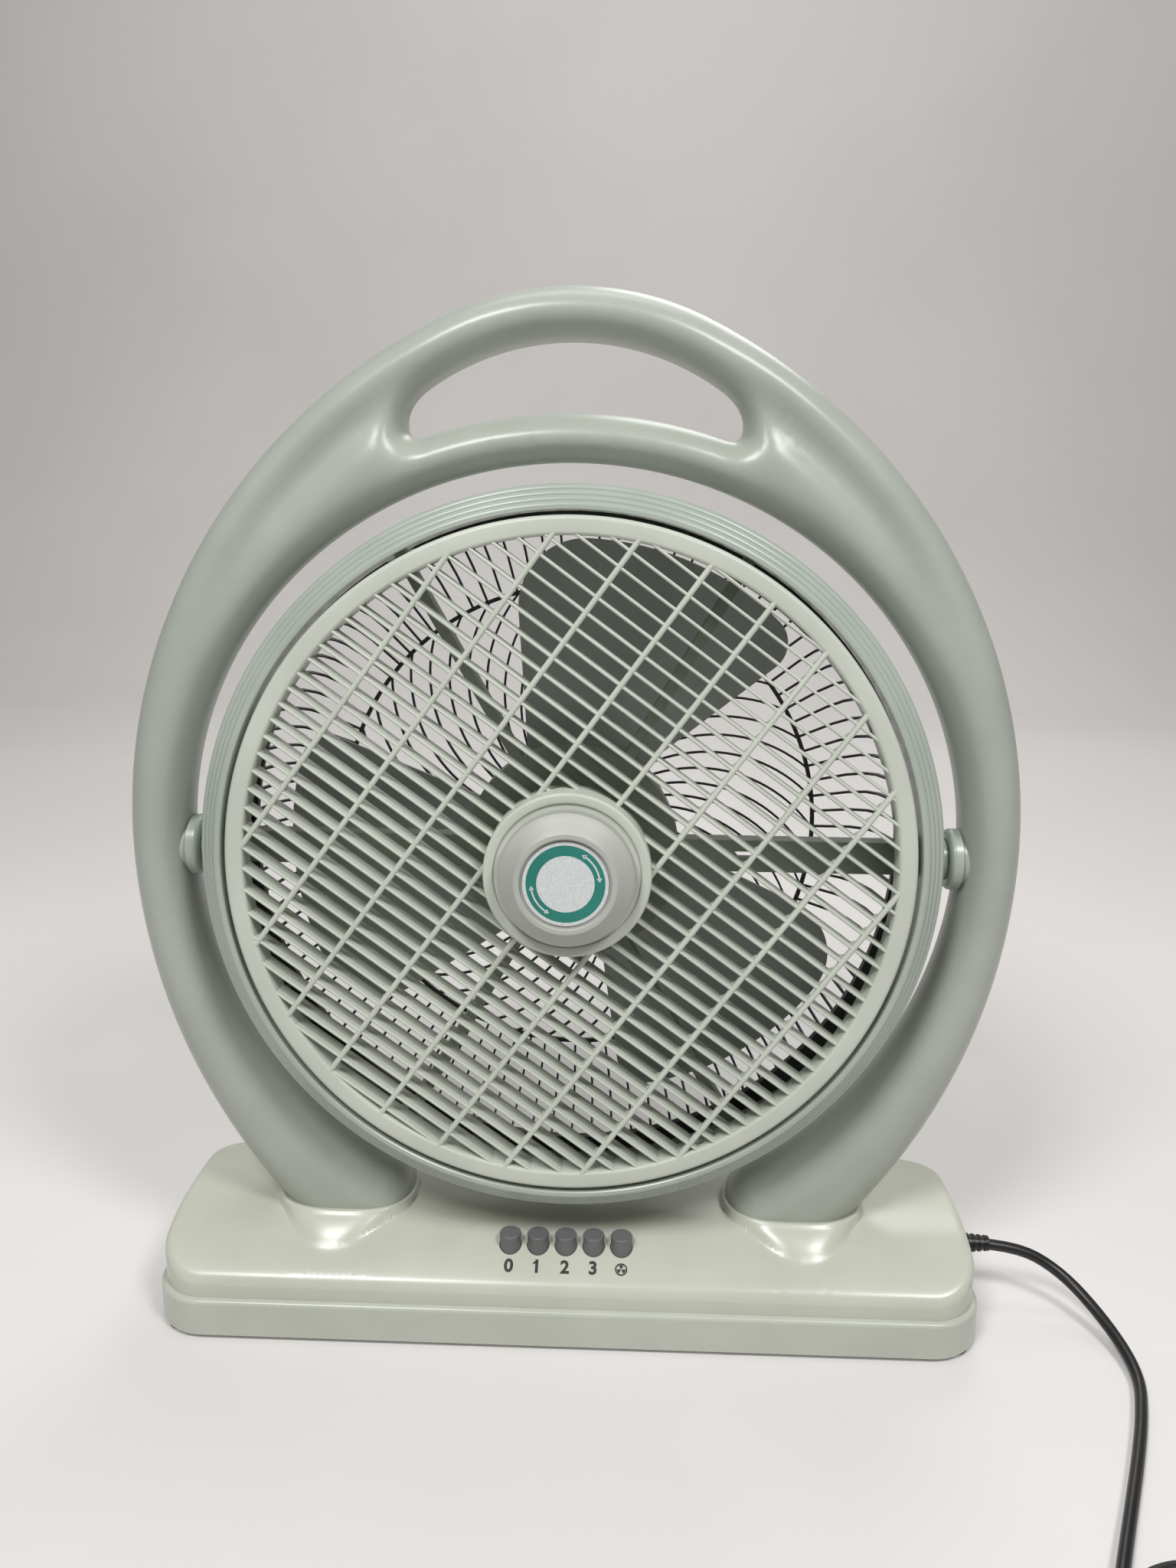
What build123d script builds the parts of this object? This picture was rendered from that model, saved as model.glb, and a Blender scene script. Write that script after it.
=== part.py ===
from build123d import *
import math
import os

os.makedirs("parts", exist_ok=True)

# A table fan: an oval arch on a low base carries a round drum that tilts on two side pivots.
# A turning louver closes the front of the drum and a wire basket closes its back.
# Millimetres, +X to the viewer's right, +Y to the back, +Z up, origin on the table under the base.

# Base
base_width = 474.0
base_depth = 132.0
base_corner = 30.0
foot_height = 3.0
foot_radius = 9.0
foot_inset = 16.0
tray_height = 22.0
tray_floor = 3.0
tray_edge = 2.5
ledge = 3.5
cover_wall = 2.5
cover_front_height = 40.0
cover_crown_height = 56.0
cover_rear_height = 50.0
cover_edge = 8.0
post_radius = 5.0
post_inset_x = 30.0
post_inset_y = 24.0

# Leg sockets on the base cover
socket_lip_height = 60.0
socket_root_height = 42.0
socket_margin_x = 2.2
socket_margin_y = 2.5
socket_corner = 14.0
socket_lip_edge = 1.0
socket_clearance = 0.3
tongue_top_height = 59.0
tongue_inset_x = 3.5
tongue_inset_y = 0.5
tongue_root_width = 30.0
tongue_root_reach = 54.0
tongue_root_round = 0.49

# Arch
arch_width = 485.0
arch_height = 567.0
arch_depth = 52.0
arch_side_radius = 306.0
arch_leg_radius = 330.0
arch_seat_height = 56.0
window_half_width = 214.0
window_rise = 210.0
window_drop = 226.0
leg_toe = 94.0
leg_toe_corner = 12.0
handle_bar = 21.0
handle_band = 23.0
handle_half_width = 88.0
handle_corner = 9.5
arch_front_edge = 11.0
arch_inner_edge = 8.5
arch_wall = 5.5
arch_seam_step = 0.5
arch_boss_radius = 5.0
arch_boss_bite = 1.0
arch_screw_low = 150.0
arch_screw_high = 380.0
arch_screw_top = 491.0
arch_screw_top_x = 113.0
tenon_width = 44.0
tenon_depth = 36.0
tenon_clearance = 0.3

# Bounds that pick the arch's corners and edges for rounding
toe_pick_slack = 3.0
toe_pick_drop = 50.0
window_pick_share = 1.15
seat_pick_gap = 0.5

# Tilt pivots
pivot_height = 275.0
drum_tilt = 3.3
pin_radius = 7.0
pin_clearance = 0.05
disc_radius = 17.0
disc_face = 206.5
disc_wall_gap = 0.8
disc_edge = 3.0
bush_radius = 11.0
bush_end = 226.0
bush_clearance = 0.05
collar_radius = 11.5
collar_gap = 0.4
flange_radius = 15.0
flange_thickness = 3.0
pivot_pad_radius = 17.0
pivot_pad_face = 188.5
pivot_pad_bite = 1.0
pin_hole_overrun = 5.0
pivot_nut_radius = 12.0
pivot_nut_thickness = 4.0
pivot_nut_gap = 0.3

# Drum ring, measured from the pivot axis along the drum axis, front negative
ring_radius = 198.5
ring_wall = 3.0
ring_shoulder = -30.0
ring_rear = 20.0
ring_taper = 2.0
bezel_front = -41.0
bezel_inner_radius = 185.4
bezel_lip = 1.6
bezel_ledge = -24.0
ledge_step = 0.5
bezel_ridges = 4
ridge_rise = 0.9
ring_boss_radius = 4.5
ring_boss_place = 191.0
ring_boss_length = 16.0
ring_bore_extra = 1.0

# Rear guard
guard_rim_inner = 184.0
guard_rim_thickness = 5.0
guard_back = 76.0
guard_bar_count = 96
guard_bar_width = 2.0
guard_bar_depth = 3.0
guard_side_front = 193.0
guard_side_rear = 184.5
guard_side_end = 60.0
guard_bend_out = 2.5
guard_bend_back = 5.5
guard_bend_trim = 1.0
guard_bend_share = 0.75
guard_back_radius = 168.0
guard_ring_radius = 145.0
guard_ring_width = 4.0
guard_hub_radius = 42.0
guard_hub_bite = 2.0
guard_spiral_count = 48
guard_spiral_turn = 38.0
guard_spiral_mid = 0.42
guard_screw_count = 6

# Front spider
hub_radius = 60.0
hub_front = -3.0
hub_plate = 2.5
hub_skirt_end = 14.0
hub_wall = 2.5
arm_depth = 12.0
wide_arm_width = 18.0
slim_arm_width = 6.0
slim_arm_angle = 30.0
arm_window_radius = 97.0
arm_window_width = 12.0
arm_window_height = 5.0
arm_end_gap = 0.3
arm_bite = 1.0
arm_post_width = 14.0
arm_post_inner = 186.8
arm_post_outer = 192.6
spider_screw_room = 2.0

# Main motor
motor_radius = 48.0
motor_plate = 3.0
bell_split = 22.0
motor_end = 44.0
stator_radius = 44.0
stator_clearance = 0.1
stator_bore = 24.0
stator_front = 12.0
stator_rear = 32.0
winding_inner = 27.0
winding_outer = 42.0
winding_length = 7.0
winding_edge = 2.5
rotor_gap = 0.5
shaft_radius = 4.0
shaft_front = 1.0
shaft_rear = 66.0
bearing_radius = 9.0
bearing_length = 8.0
bearing_boss_radius = 13.0
bearing_clearance = 0.02
bearing_web = 1.0
bearing_recess = 0.5
motor_screw_radius = 36.0
motor_screw_length = 5.0
motor_screw_tip_gap = 0.2
motor_screw_count = 4
motor_screw_turn = 45.0

# Fan blade
blade_count = 3
blade_tip_radius = 172.5
blade_cup_radius = 57.0
blade_cup_wall = 2.4
blade_cup_front = 22.0
blade_cup_rear = 58.0
blade_boss_radius = 10.0
blade_boss_front = 46.0
blade_thickness = 2.4
blade_front = 25.0
blade_rear = 63.0
blade_lead_tip = 50.0
blade_lead_root = 46.0
blade_trail_tip = -12.0
blade_trail_root = -32.0
blade_lead_corner = 18.0
blade_trail_corner = 38.0
blade_sections = 7
blade_sheet_margin = 8.0
blade_tip_margin = 4.0
blade_root_bite = 6.0
hub_fit = 0.03
nut_radius = 12.0
nut_length = 11.0
nut_facets = 6
nut_tip_gap = 0.3

# Louver
louver_angle = 36.0
louver_radius = 183.0
louver_rim_width = 10.0
louver_rim_edge = 2.5
louver_front = -42.0
louver_depth = 14.0
slat_pitch = 9.45
slat_thickness = 1.7
slat_depth = 13.0
slat_setback = 0.6
bar_pitch = 36.5
bar_width = 3.0
bar_depth = 3.4
louver_hub_radius = 44.0
louver_hub_front = -53.0
louver_hub_plate = 4.0
louver_hub_rear = -30.0
louver_hub_wall = 2.5
louver_hub_edge = 1.5
louver_core_overrun = 1.0
louver_boss_radius = 9.0
louver_boss_rear = -28.0
recess_radius = 38.5
recess_depth = 1.2
spindle_radius = 4.0
spindle_front = -61.0
spindle_rear = -14.5
spindle_collar_radius = 7.0
spindle_collar = 3.0
spindle_clearance = 0.05
spindle_tip_gap = 0.3
louver_motor_radius = 25.0
louver_motor_height = 17.0
louver_motor_bore = 6.5

# Louver knob
knob_radius = 35.5
knob_grip = 8.0
knob_height = 17.0
knob_crest = 27.0
knob_crest_width = 3.5
knob_crest_bevel = 1.2
knob_crest_drop = 0.8
knob_edge_bevel = 1.0
knob_edge_drop = 0.8
knob_recess = 2.6
knob_clearance = 0.3
knob_flutes = 60
flute_radius = 1.2
flute_depth = 0.5
flute_overrun = 1.0
label_radius = 22.0
label_thickness = 0.8

# Buttons and the electrics in the base
button_count = 5
button_pitch = 16.0
button_y = -39.0
button_radius = 6.1
button_clearance = 0.4
button_proud = 8.5
button_length = 17.0
button_edge = 0.8
stem_radius = 2.6
stem_clearance = 0.1
stem_free = 6.5
stem_engage = 6.5
stem_end_gap = 1.0
button_travel = 4.0
switch_width = 94.0
switch_depth = 24.0
switch_bottom = 11.0
switch_ear = 14.0
switch_ear_thickness = 3.0
capacitor_width = 38.0
capacitor_depth = 18.0
capacitor_height = 26.0
capacitor_edge = 2.0
capacitor_x = 62.0
capacitor_y = 26.0

# Screws
screw_radius = 1.8
screw_head_radius = 3.6
screw_head_height = 2.2
screw_length = 12.0
screw_fit = 0.05
screw_head_gap = 0.2

# Mains lead
cord_diameter = 6.5
cord_exit_y = -6.0
cord_exit_z = 36.0
cord_start = 1.5
relief_length = 18.0
relief_root_radius = 6.0
relief_tip_radius = 4.4
relief_flange_radius = 8.0
relief_flange = 3.0
relief_groove = 0.7
relief_groove_half = 1.0
relief_grooves = 4
relief_fit = 0.05
table_gap = 0.15
bend_share = 0.45
self_gap_span = 4
coil_mid_radius = 36.5
coil_pitch = 7.1
coil_turns = 3
coil_climb_radius = 24.3
coil_lift = 1.6
coil_heading = 243.0
coil_approach = 30.0
coil_tail = 42.0
tie_thickness = 0.9
tie_width = 6.0
tie_gap = 0.6
plug_length = 34.0
plug_width = 26.0
plug_edge = 4.0
plug_lift = 0.2
prong_length = 17.0
prong_width = 6.3
prong_thickness = 1.5
prong_spacing = 12.7

# Worked-out places
tray_top = foot_height + tray_height
floor_top = foot_height + tray_floor
cover_half_width = base_width / 2 - ledge
cover_half_depth = base_depth / 2 - ledge
half_arch = arch_width / 2
half_arch_depth = arch_depth / 2
ring_rear_radius = ring_radius - ring_taper
cord_radius = cord_diameter / 2
screw_bore = screw_radius + screw_fit
drum_place = Pos(0, 0, pivot_height) * Rot(-drum_tilt, 0, 0)

# The frame's origin lies midway between the knob's face and the guard's back edge
recess_floor = louver_hub_front + recess_depth
knob_back = recess_floor - knob_clearance
knob_front = knob_back - knob_height
tilt_cos = math.cos(math.radians(drum_tilt))
tilt_sin = math.sin(math.radians(drum_tilt))
front_reach = knob_front * tilt_cos - knob_crest * tilt_sin
rear_reach = guard_back * tilt_cos + guard_back_radius * tilt_sin
frame_shift = Pos(0, -(front_reach + rear_reach) / 2, 0)


def write(shape, name):
    export_step(frame_shift * shape, f"parts/{name}.step")


def write_drum(shape, name):
    write(drum_place * shape, name)


def block(x0, x1, y0, y1, z0, z1):
    return Pos((x0 + x1) / 2, (y0 + y1) / 2, (z0 + z1) / 2) * Box(abs(x1 - x0), abs(y1 - y0), abs(z1 - z0))


def rod_x(radius, x0, x1, y=0.0, z=0.0):
    return Pos((x0 + x1) / 2, y, z) * Rot(0, 90, 0) * Cylinder(radius, abs(x1 - x0))


def rod_y(radius, y0, y1, x=0.0, z=0.0):
    return Pos(x, (y0 + y1) / 2, z) * Rot(90, 0, 0) * Cylinder(radius, abs(y1 - y0))


def rod_z(radius, z0, z1, x=0.0, y=0.0):
    return Pos(x, y, (z0 + z1) / 2) * Cylinder(radius, abs(z1 - z0))


def slab(half_width, half_depth, corner, z0, z1):
    outline = RectangleRounded(2 * half_width, 2 * half_depth, corner)
    return extrude(Pos(0, 0, z0) * outline, z1 - z0)


def lathe(*points):
    """Turn a closed outline of (radius, place along the drum axis) points about the drum axis."""
    return revolve(make_face(Polyline(*points, close=True)), Axis.Y)


def around(shape, count, first=0.0):
    """Copies of a shape, evenly spaced about the drum axis."""
    return [Rot(0, first + k * 360 / count, 0) * shape for k in range(count)]


def polar(radius, degrees):
    """A front-view point, with the angle clockwise from the top."""
    return (radius * math.sin(math.radians(degrees)), radius * math.cos(math.radians(degrees)))


def screw_up(x, y, under_head, length):
    head = rod_z(screw_head_radius, under_head - screw_head_height, under_head, x, y)
    return head + rod_z(screw_radius, under_head, under_head + length, x, y)


def screw_forward(x, z, under_head, length):
    head = rod_y(screw_head_radius, under_head, under_head + screw_head_height, x, z)
    return head + rod_y(screw_radius, under_head - length, under_head, x, z)


def screw_back(x, z, under_head, length):
    head = rod_y(screw_head_radius, under_head - screw_head_height, under_head, x, z)
    return head + rod_y(screw_radius, under_head, under_head + length, x, z)


# Arch outline in the front plane
def outer_x(z):
    radius = arch_side_radius if z > pivot_height else arch_leg_radius
    return half_arch - radius + math.sqrt(radius ** 2 - (z - pivot_height) ** 2)


def window_x(z):
    height = window_rise if z > pivot_height else window_drop
    return max(leg_toe, window_half_width * math.sqrt(1 - ((z - pivot_height) / height) ** 2))


arch_rise = arch_height - pivot_height
side_centre = half_arch - arch_side_radius
crest_rest = side_centre ** 2 + arch_rise ** 2 - arch_side_radius ** 2
crest_radius = crest_rest / (2 * (arch_rise - arch_side_radius))
crest_centre = arch_height - crest_radius


def arch_outline(inset):
    """Closed outer outline of the arch, every edge moved in by inset."""
    leg_centre = half_arch - arch_leg_radius
    lean = math.atan2(-side_centre, crest_centre - pivot_height)
    side_r = arch_side_radius - inset
    leg_r = arch_leg_radius - inset
    crest_r = crest_radius - inset
    foot_turn = math.asin((pivot_height - arch_seat_height - inset) / leg_r)
    side_turn = (lean + math.pi / 2) / 2
    top = (crest_r * math.sin(lean), crest_centre + crest_r * math.cos(lean))
    side = (side_centre + side_r * math.sin(side_turn), pivot_height + side_r * math.cos(side_turn))
    hip = (half_arch - inset, pivot_height)
    leg = (leg_centre + leg_r * math.cos(foot_turn / 2), pivot_height - leg_r * math.sin(foot_turn / 2))
    foot = (leg_centre + leg_r * math.cos(foot_turn), pivot_height - leg_r * math.sin(foot_turn))
    left = [(-x, z) for x, z in (top, side, hip, leg, foot)]
    edges = [
        ThreePointArc(foot, leg, hip),
        ThreePointArc(hip, side, top),
        ThreePointArc(top, (0, arch_height - inset), left[0]),
        ThreePointArc(left[0], left[1], left[2]),
        ThreePointArc(left[2], left[3], left[4]),
        Line(left[4], foot),
    ]
    return make_face(edges)


def window_outline(grow):
    """The oval opening that the drum hangs in, taller below the pivots."""
    wide = window_half_width + grow
    half_plane = Rectangle(arch_width, arch_height)
    upper = Ellipse(wide, window_rise + grow) & Pos(0, arch_height / 2) * half_plane
    lower = Ellipse(wide, window_drop + grow) & Pos(0, -arch_height / 2) * half_plane
    toes = Pos(0, arch_seat_height) * Rectangle(2 * (leg_toe + grow), pivot_height / 2)
    return Pos(0, pivot_height) * (upper + lower) + toes


def handle_outline(grow):
    """The crescent finger opening between the window and the top bar."""
    half = handle_half_width + grow
    upper_r = crest_radius - handle_bar + grow
    upper_end = crest_centre + math.sqrt(upper_r ** 2 - half ** 2)
    lower_rise = window_rise + handle_band - grow
    lower_wide = window_half_width + handle_band - grow
    lower_end = pivot_height + lower_rise * math.sqrt(1 - (half / lower_wide) ** 2)
    edges = [
        ThreePointArc((-half, upper_end), (0, crest_centre + upper_r), (half, upper_end)),
        Line((half, upper_end), (half, lower_end)),
        ThreePointArc((half, lower_end), (0, pivot_height + lower_rise), (-half, lower_end)),
        Line((-half, lower_end), (-half, upper_end)),
    ]
    crescent = make_face(edges)
    return fillet(crescent.vertices(), handle_corner + grow)


def arch_face(inset):
    return Plane.XZ * (arch_outline(inset) - window_outline(inset) - handle_outline(inset))


def rounded_toes(face):
    """Round the corner where the inner edge of each leg turns straight down into its socket."""
    low = arch_seat_height + toe_pick_slack
    high = pivot_height - toe_pick_drop
    near = [v for v in face.vertices() if abs(v.X) < leg_toe + toe_pick_slack]
    toes = [v for v in near if low < v.Z < high]
    return fillet(toes, leg_toe_corner)


def on_window_side(edge, slack):
    middle = edge @ 0.5
    reach = (middle.X / window_half_width) ** 2 + ((middle.Z - pivot_height) / window_drop) ** 2
    beside_handle = abs(middle.X) < handle_half_width + slack
    below_bar = pivot_height < middle.Z < arch_height - handle_bar / 2
    return reach < window_pick_share or (beside_handle and below_bar)


def arch_front_edges(body, window_side):
    front = body.edges().group_by(Axis.Y)[0]
    seat_top = arch_seat_height + arch_wall / 2 + seat_pick_gap
    free = [e for e in front if (e @ 0.5).Z > seat_top]
    return [e for e in free if on_window_side(e, arch_front_edge) == window_side]


def arch_half(inset):
    """One moulded half, solid, grown from the seam plane to the front with its front edges rounded."""
    body = extrude(rounded_toes(arch_face(inset)), half_arch_depth - inset)
    body = fillet(arch_front_edges(body, True), arch_inner_edge)
    return fillet(arch_front_edges(body, False), arch_front_edge)


leg_x = (outer_x(arch_seat_height) + window_x(arch_seat_height)) / 2
arch_screw_places = []
for side in (-1, 1):
    for z in (arch_screw_low, arch_screw_high):
        arch_screw_places.append((side * (outer_x(z) + window_x(z)) / 2, z))
    arch_screw_places.append((side * arch_screw_top_x, arch_screw_top))

arch_pocket = extrude(arch_face(arch_wall), half_arch_depth - arch_wall)
boss_front = -half_arch_depth + arch_wall - arch_boss_bite
arch_bosses = [rod_y(arch_boss_radius, boss_front, 0, x, z) for x, z in arch_screw_places]
tenon_top = arch_seat_height + arch_wall / 2
tenons = []
tenon_holes = []
for side in (-1, 1):
    x0 = side * leg_x - tenon_width / 2
    tenons.append(block(x0, x0 + tenon_width, -tenon_depth / 2, 0, floor_top, tenon_top))
    tenon_holes.append(rod_z(screw_bore, 0, floor_top + screw_length, side * leg_x, -tenon_depth / 4))
pivot_hole = rod_x(bush_radius + bush_clearance, -bush_end, bush_end, 0, pivot_height)


def arch_shell(inset):
    body = arch_half(inset) - arch_pocket + arch_bosses + tenons
    return body - tenon_holes - pivot_hole


hole_front = -half_arch_depth + arch_wall
screw_holes = [rod_y(screw_bore, hole_front, 0, x, z) for x, z in arch_screw_places]
arch_front = arch_shell(0.0) - screw_holes
write(arch_front, "arch_front")

arch_rear = mirror(arch_shell(arch_seam_step), Plane.XZ)
head_seat = half_arch_depth - arch_wall
through = [rod_y(screw_bore, 0, half_arch_depth, x, z) for x, z in arch_screw_places]
sink_radius = screw_head_radius + screw_head_gap
sinks = [rod_y(sink_radius, head_seat, half_arch_depth, x, z) for x, z in arch_screw_places]
arch_rear = arch_rear - through - sinks
write(arch_rear, "arch_rear")

arch_screw_reach = head_seat + screw_length
arch_screws = [screw_forward(x, z, head_seat, arch_screw_reach) for x, z in arch_screw_places]
write(Compound(arch_screws), "arch_screws")


# Base cover, its leg sockets and the tray
def cover_top_at(y):
    """Height of the crowned top at a depth, from the circle through its three named heights."""
    y1, z1 = -cover_half_depth, cover_front_height
    y2, z2 = 0.0, cover_crown_height
    y3, z3 = cover_half_depth, cover_rear_height
    turn = 2 * (y1 * (z2 - z3) + y2 * (z3 - z1) + y3 * (z1 - z2))
    s1, s2, s3 = y1 * y1 + z1 * z1, y2 * y2 + z2 * z2, y3 * y3 + z3 * z3
    yc = (s1 * (z2 - z3) + s2 * (z3 - z1) + s3 * (z1 - z2)) / turn
    zc = (s1 * (y3 - y2) + s2 * (y1 - y3) + s3 * (y2 - y1)) / turn
    return zc + math.sqrt((y2 - yc) ** 2 + (z2 - zc) ** 2 - (y - yc) ** 2)


def cover_body(drop):
    """The crowned cover block, with its side and top faces moved in by drop."""
    reach = cover_half_depth + cover_edge
    front = (-reach, cover_top_at(-reach) - drop)
    rear = (reach, cover_top_at(reach) - drop)
    top = ThreePointArc(front, (0, cover_crown_height - drop), rear)
    sides = Polyline(rear, (reach, tray_top), (-reach, tray_top), front)
    profile = Plane.YZ * make_face([top, sides])
    plan = slab(cover_half_width - drop, cover_half_depth - drop, base_corner - ledge - drop,
                tray_top, socket_lip_height)
    return plan & extrude(profile, base_width, both=True)


button_top = cover_top_at(button_y) + button_proud
button_bottom = button_top - button_length
switch_top = button_bottom - stem_free
button_xs = [(k - (button_count - 1) / 2) * button_pitch for k in range(button_count)]
ear_x = switch_width / 2 + switch_ear / 2
post_x = cover_half_width - post_inset_x
post_y = cover_half_depth - post_inset_y
post_places = [(sx * post_x, sy * post_y) for sx in (-1, 1) for sy in (-1, 1)]
tenon_places = [(sx * leg_x, sy * tenon_depth / 4) for sx in (-1, 1) for sy in (-1, 1)]

cover_outer = cover_body(0.0)
cover_top = cover_outer.faces().sort_by(Axis.Z)[-1]
cover_outer = fillet(cover_top.edges(), cover_edge)


def leg_socket(side):
    """A cup round the foot of the arch, with a tongue that runs down into the cover in front and behind."""
    outer = outer_x(socket_lip_height) + socket_margin_x
    inner = window_x(socket_lip_height) - socket_margin_x
    centre = side * (outer + inner) / 2
    wide = outer - inner
    deep = arch_depth + 2 * socket_margin_y
    lip = RectangleRounded(wide, deep, socket_corner)
    cup = extrude(Pos(centre, 0, socket_root_height) * lip, socket_lip_height - socket_root_height)
    cup = fillet(cup.faces().sort_by(Axis.Z)[-1].edges(), socket_lip_edge)
    top = RectangleRounded(wide - 2 * tongue_inset_x, deep - 2 * tongue_inset_y, socket_corner)
    root = RectangleRounded(tongue_root_width, 2 * tongue_root_reach, tongue_root_round * tongue_root_width)
    return cup + loft([Pos(centre, 0, socket_root_height) * root, Pos(centre, 0, tongue_top_height) * top])


socket_cut = arch_half(-socket_clearance)
tenon_slots = []
for side in (-1, 1):
    x0 = side * leg_x - tenon_width / 2 - tenon_clearance
    x1 = side * leg_x + tenon_width / 2 + tenon_clearance
    y1 = tenon_depth / 2 + tenon_clearance
    tenon_slots.append(block(x0, x1, -y1, y1, tray_top, socket_lip_height))

cover_posts = [rod_z(post_radius, floor_top, cover_crown_height, x, y) for x, y in post_places]
cover_posts += [rod_z(post_radius, switch_top, cover_crown_height, sx * ear_x, button_y) for sx in (-1, 1)]
below_cover = slab(cover_half_width, cover_half_depth, base_corner - ledge, 0, tray_top)
post_limit = cover_outer + below_cover
post_bores = [rod_z(screw_bore, 0, floor_top + screw_length, x, y) for x, y in post_places]
ear_bore_top = switch_top + screw_length - switch_ear_thickness
post_bores += [rod_z(screw_bore, 0, ear_bore_top, sx * ear_x, button_y) for sx in (-1, 1)]
hole_radius = button_radius + button_clearance
button_holes = [rod_z(hole_radius, tray_top, socket_lip_height, x, button_y) for x in button_xs]
relief_hole = rod_x(relief_root_radius + relief_fit, 0, base_width, cord_exit_y, cord_exit_z)
relief_side = block(cover_half_width - cover_edge, base_width, -base_depth, base_depth, 0, arch_height)
relief_hole = relief_hole & relief_side

base_cover = cover_outer + leg_socket(-1) + leg_socket(1) - cover_body(cover_wall)
base_cover = base_cover + [post & post_limit for post in cover_posts]
base_cover = base_cover - socket_cut - mirror(socket_cut, Plane.XZ) - tenon_slots
base_cover = base_cover - post_bores - button_holes - relief_hole
write(base_cover, "base_cover")

tray_rim = ledge + cover_wall
base_tray = slab(base_width / 2, base_depth / 2, base_corner, foot_height, tray_top)
base_tray = fillet(base_tray.edges().group_by(Axis.Z)[-1], tray_edge)
base_tray = base_tray - slab(base_width / 2 - tray_rim, base_depth / 2 - tray_rim, base_corner - tray_rim,
                             floor_top, tray_top)
floor_places = post_places + tenon_places
floor_holes = [rod_z(screw_bore, 0, floor_top, x, y) for x, y in floor_places]
base_tray = base_tray - floor_holes
write(base_tray, "base_tray")
write(Compound([screw_up(x, y, foot_height, screw_length) for x, y in floor_places]), "base_screws")

foot_x = base_width / 2 - foot_inset
foot_y = base_depth / 2 - foot_inset
feet = [rod_z(foot_radius, 0, foot_height, sx * foot_x, sy * foot_y) for sx in (-1, 1) for sy in (-1, 1)]
write(Compound(feet), "rubber_feet")

# Push buttons, the switch block under them and the run capacitor
for name, x in zip(("0", "1", "2", "3", "louver"), button_xs):
    cap = rod_z(button_radius, button_bottom, button_top, x, button_y)
    cap = fillet(cap.edges().group_by(Axis.Z)[-1], button_edge)
    stem = rod_z(stem_radius, switch_top - stem_engage, button_bottom, x, button_y)
    write(cap + stem, f"button_{name}")

switch_front = button_y - switch_depth / 2
switch_back = button_y + switch_depth / 2
switch_body = block(-switch_width / 2, switch_width / 2, switch_front, switch_back, switch_bottom, switch_top)
ear_under = switch_top - switch_ear_thickness
ear_front = button_y - switch_ear / 2
ear_back = button_y + switch_ear / 2
ear_end = ear_x + switch_ear / 2
switch_body = switch_body + block(-ear_end, ear_end, ear_front, ear_back, ear_under, switch_top)
stem_bottom = switch_top - stem_engage - button_travel - stem_end_gap
stem_bore = stem_radius + stem_clearance
switch_body = switch_body - [rod_z(stem_bore, stem_bottom, switch_top, x, button_y) for x in button_xs]
ear_holes = [rod_z(screw_bore, switch_bottom, switch_top, sx * ear_x, button_y) for sx in (-1, 1)]
switch_body = switch_body - ear_holes
write(switch_body, "switch_block")
switch_screws = [screw_up(sx * ear_x, button_y, ear_under, screw_length) for sx in (-1, 1)]
write(Compound(switch_screws), "switch_screws")

capacitor = block(capacitor_x - capacitor_width / 2, capacitor_x + capacitor_width / 2,
                  capacitor_y - capacitor_depth / 2, capacitor_y + capacitor_depth / 2,
                  floor_top, floor_top + capacitor_height)
capacitor = fillet(capacitor.edges().filter_by(Axis.Z), capacitor_edge)
write(capacitor, "run_capacitor")

# Tilt pivots: bush in the arch, trunnion through the drum ring, nut inside the arch
wall_x = window_x(pivot_height) - disc_wall_gap
collar_end = disc_face - collar_gap
nut_x = bush_end + pivot_nut_gap
nut_end = nut_x + pivot_nut_thickness
for side, name in ((-1, "left"), (1, "right")):
    disc = rod_x(disc_radius, disc_face, wall_x)
    disc = fillet(disc.edges().filter_by(GeomType.CIRCLE).group_by(Axis.X)[0], disc_edge)
    bush = disc + rod_x(bush_radius, wall_x, bush_end)
    bush = bush - rod_x(pin_radius + pin_clearance, disc_face, bush_end)
    pin = rod_x(pin_radius, collar_end, nut_end)
    collar = rod_x(collar_radius, pivot_pad_face, collar_end)
    flange = rod_x(flange_radius, pivot_pad_face - flange_thickness, pivot_pad_face)
    nut = rod_x(pivot_nut_radius, nut_x, nut_end) - rod_x(pin_radius + hub_fit, nut_x, nut_end)
    turn = Rot(0, 0, 180) if side < 0 else Rot(0, 0, 0)
    write(Pos(0, 0, pivot_height) * turn * bush, f"pivot_bush_{name}")
    write_drum(turn * (pin + collar + flange), f"trunnion_{name}")
    write_drum(turn * nut, f"pivot_nut_{name}")

# Drum ring with its ridged bezel
ridge_run = [
    (ring_radius + (bezel_inner_radius + bezel_lip - ring_radius) * k / bezel_ridges,
     ring_shoulder + (bezel_front - ring_shoulder) * k / bezel_ridges)
    for k in range(bezel_ridges + 1)
]
slope = math.hypot(ridge_run[-1][0] - ridge_run[0][0], ridge_run[-1][1] - ridge_run[0][1])
lift_r = (ridge_run[0][1] - ridge_run[-1][1]) / slope * ridge_rise
lift_y = (ridge_run[-1][0] - ridge_run[0][0]) / slope * ridge_rise
ridges = []
for (r0, y0), (r1, y1) in zip(ridge_run[:-1], ridge_run[1:]):
    crown = ((r0 + r1) / 2 + lift_r, (y0 + y1) / 2 + lift_y)
    ridges.append(ThreePointArc((r0, y0), crown, (r1, y1)))
ledge_radius = ring_radius - ring_wall - ledge_step
wall_line = Polyline(
    ridge_run[-1],
    (bezel_inner_radius, bezel_front),
    (bezel_inner_radius, bezel_ledge),
    (ledge_radius, bezel_ledge),
    (ring_rear_radius - ring_wall, ring_rear),
    (ring_rear_radius, ring_rear),
    ridge_run[0],
)
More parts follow.
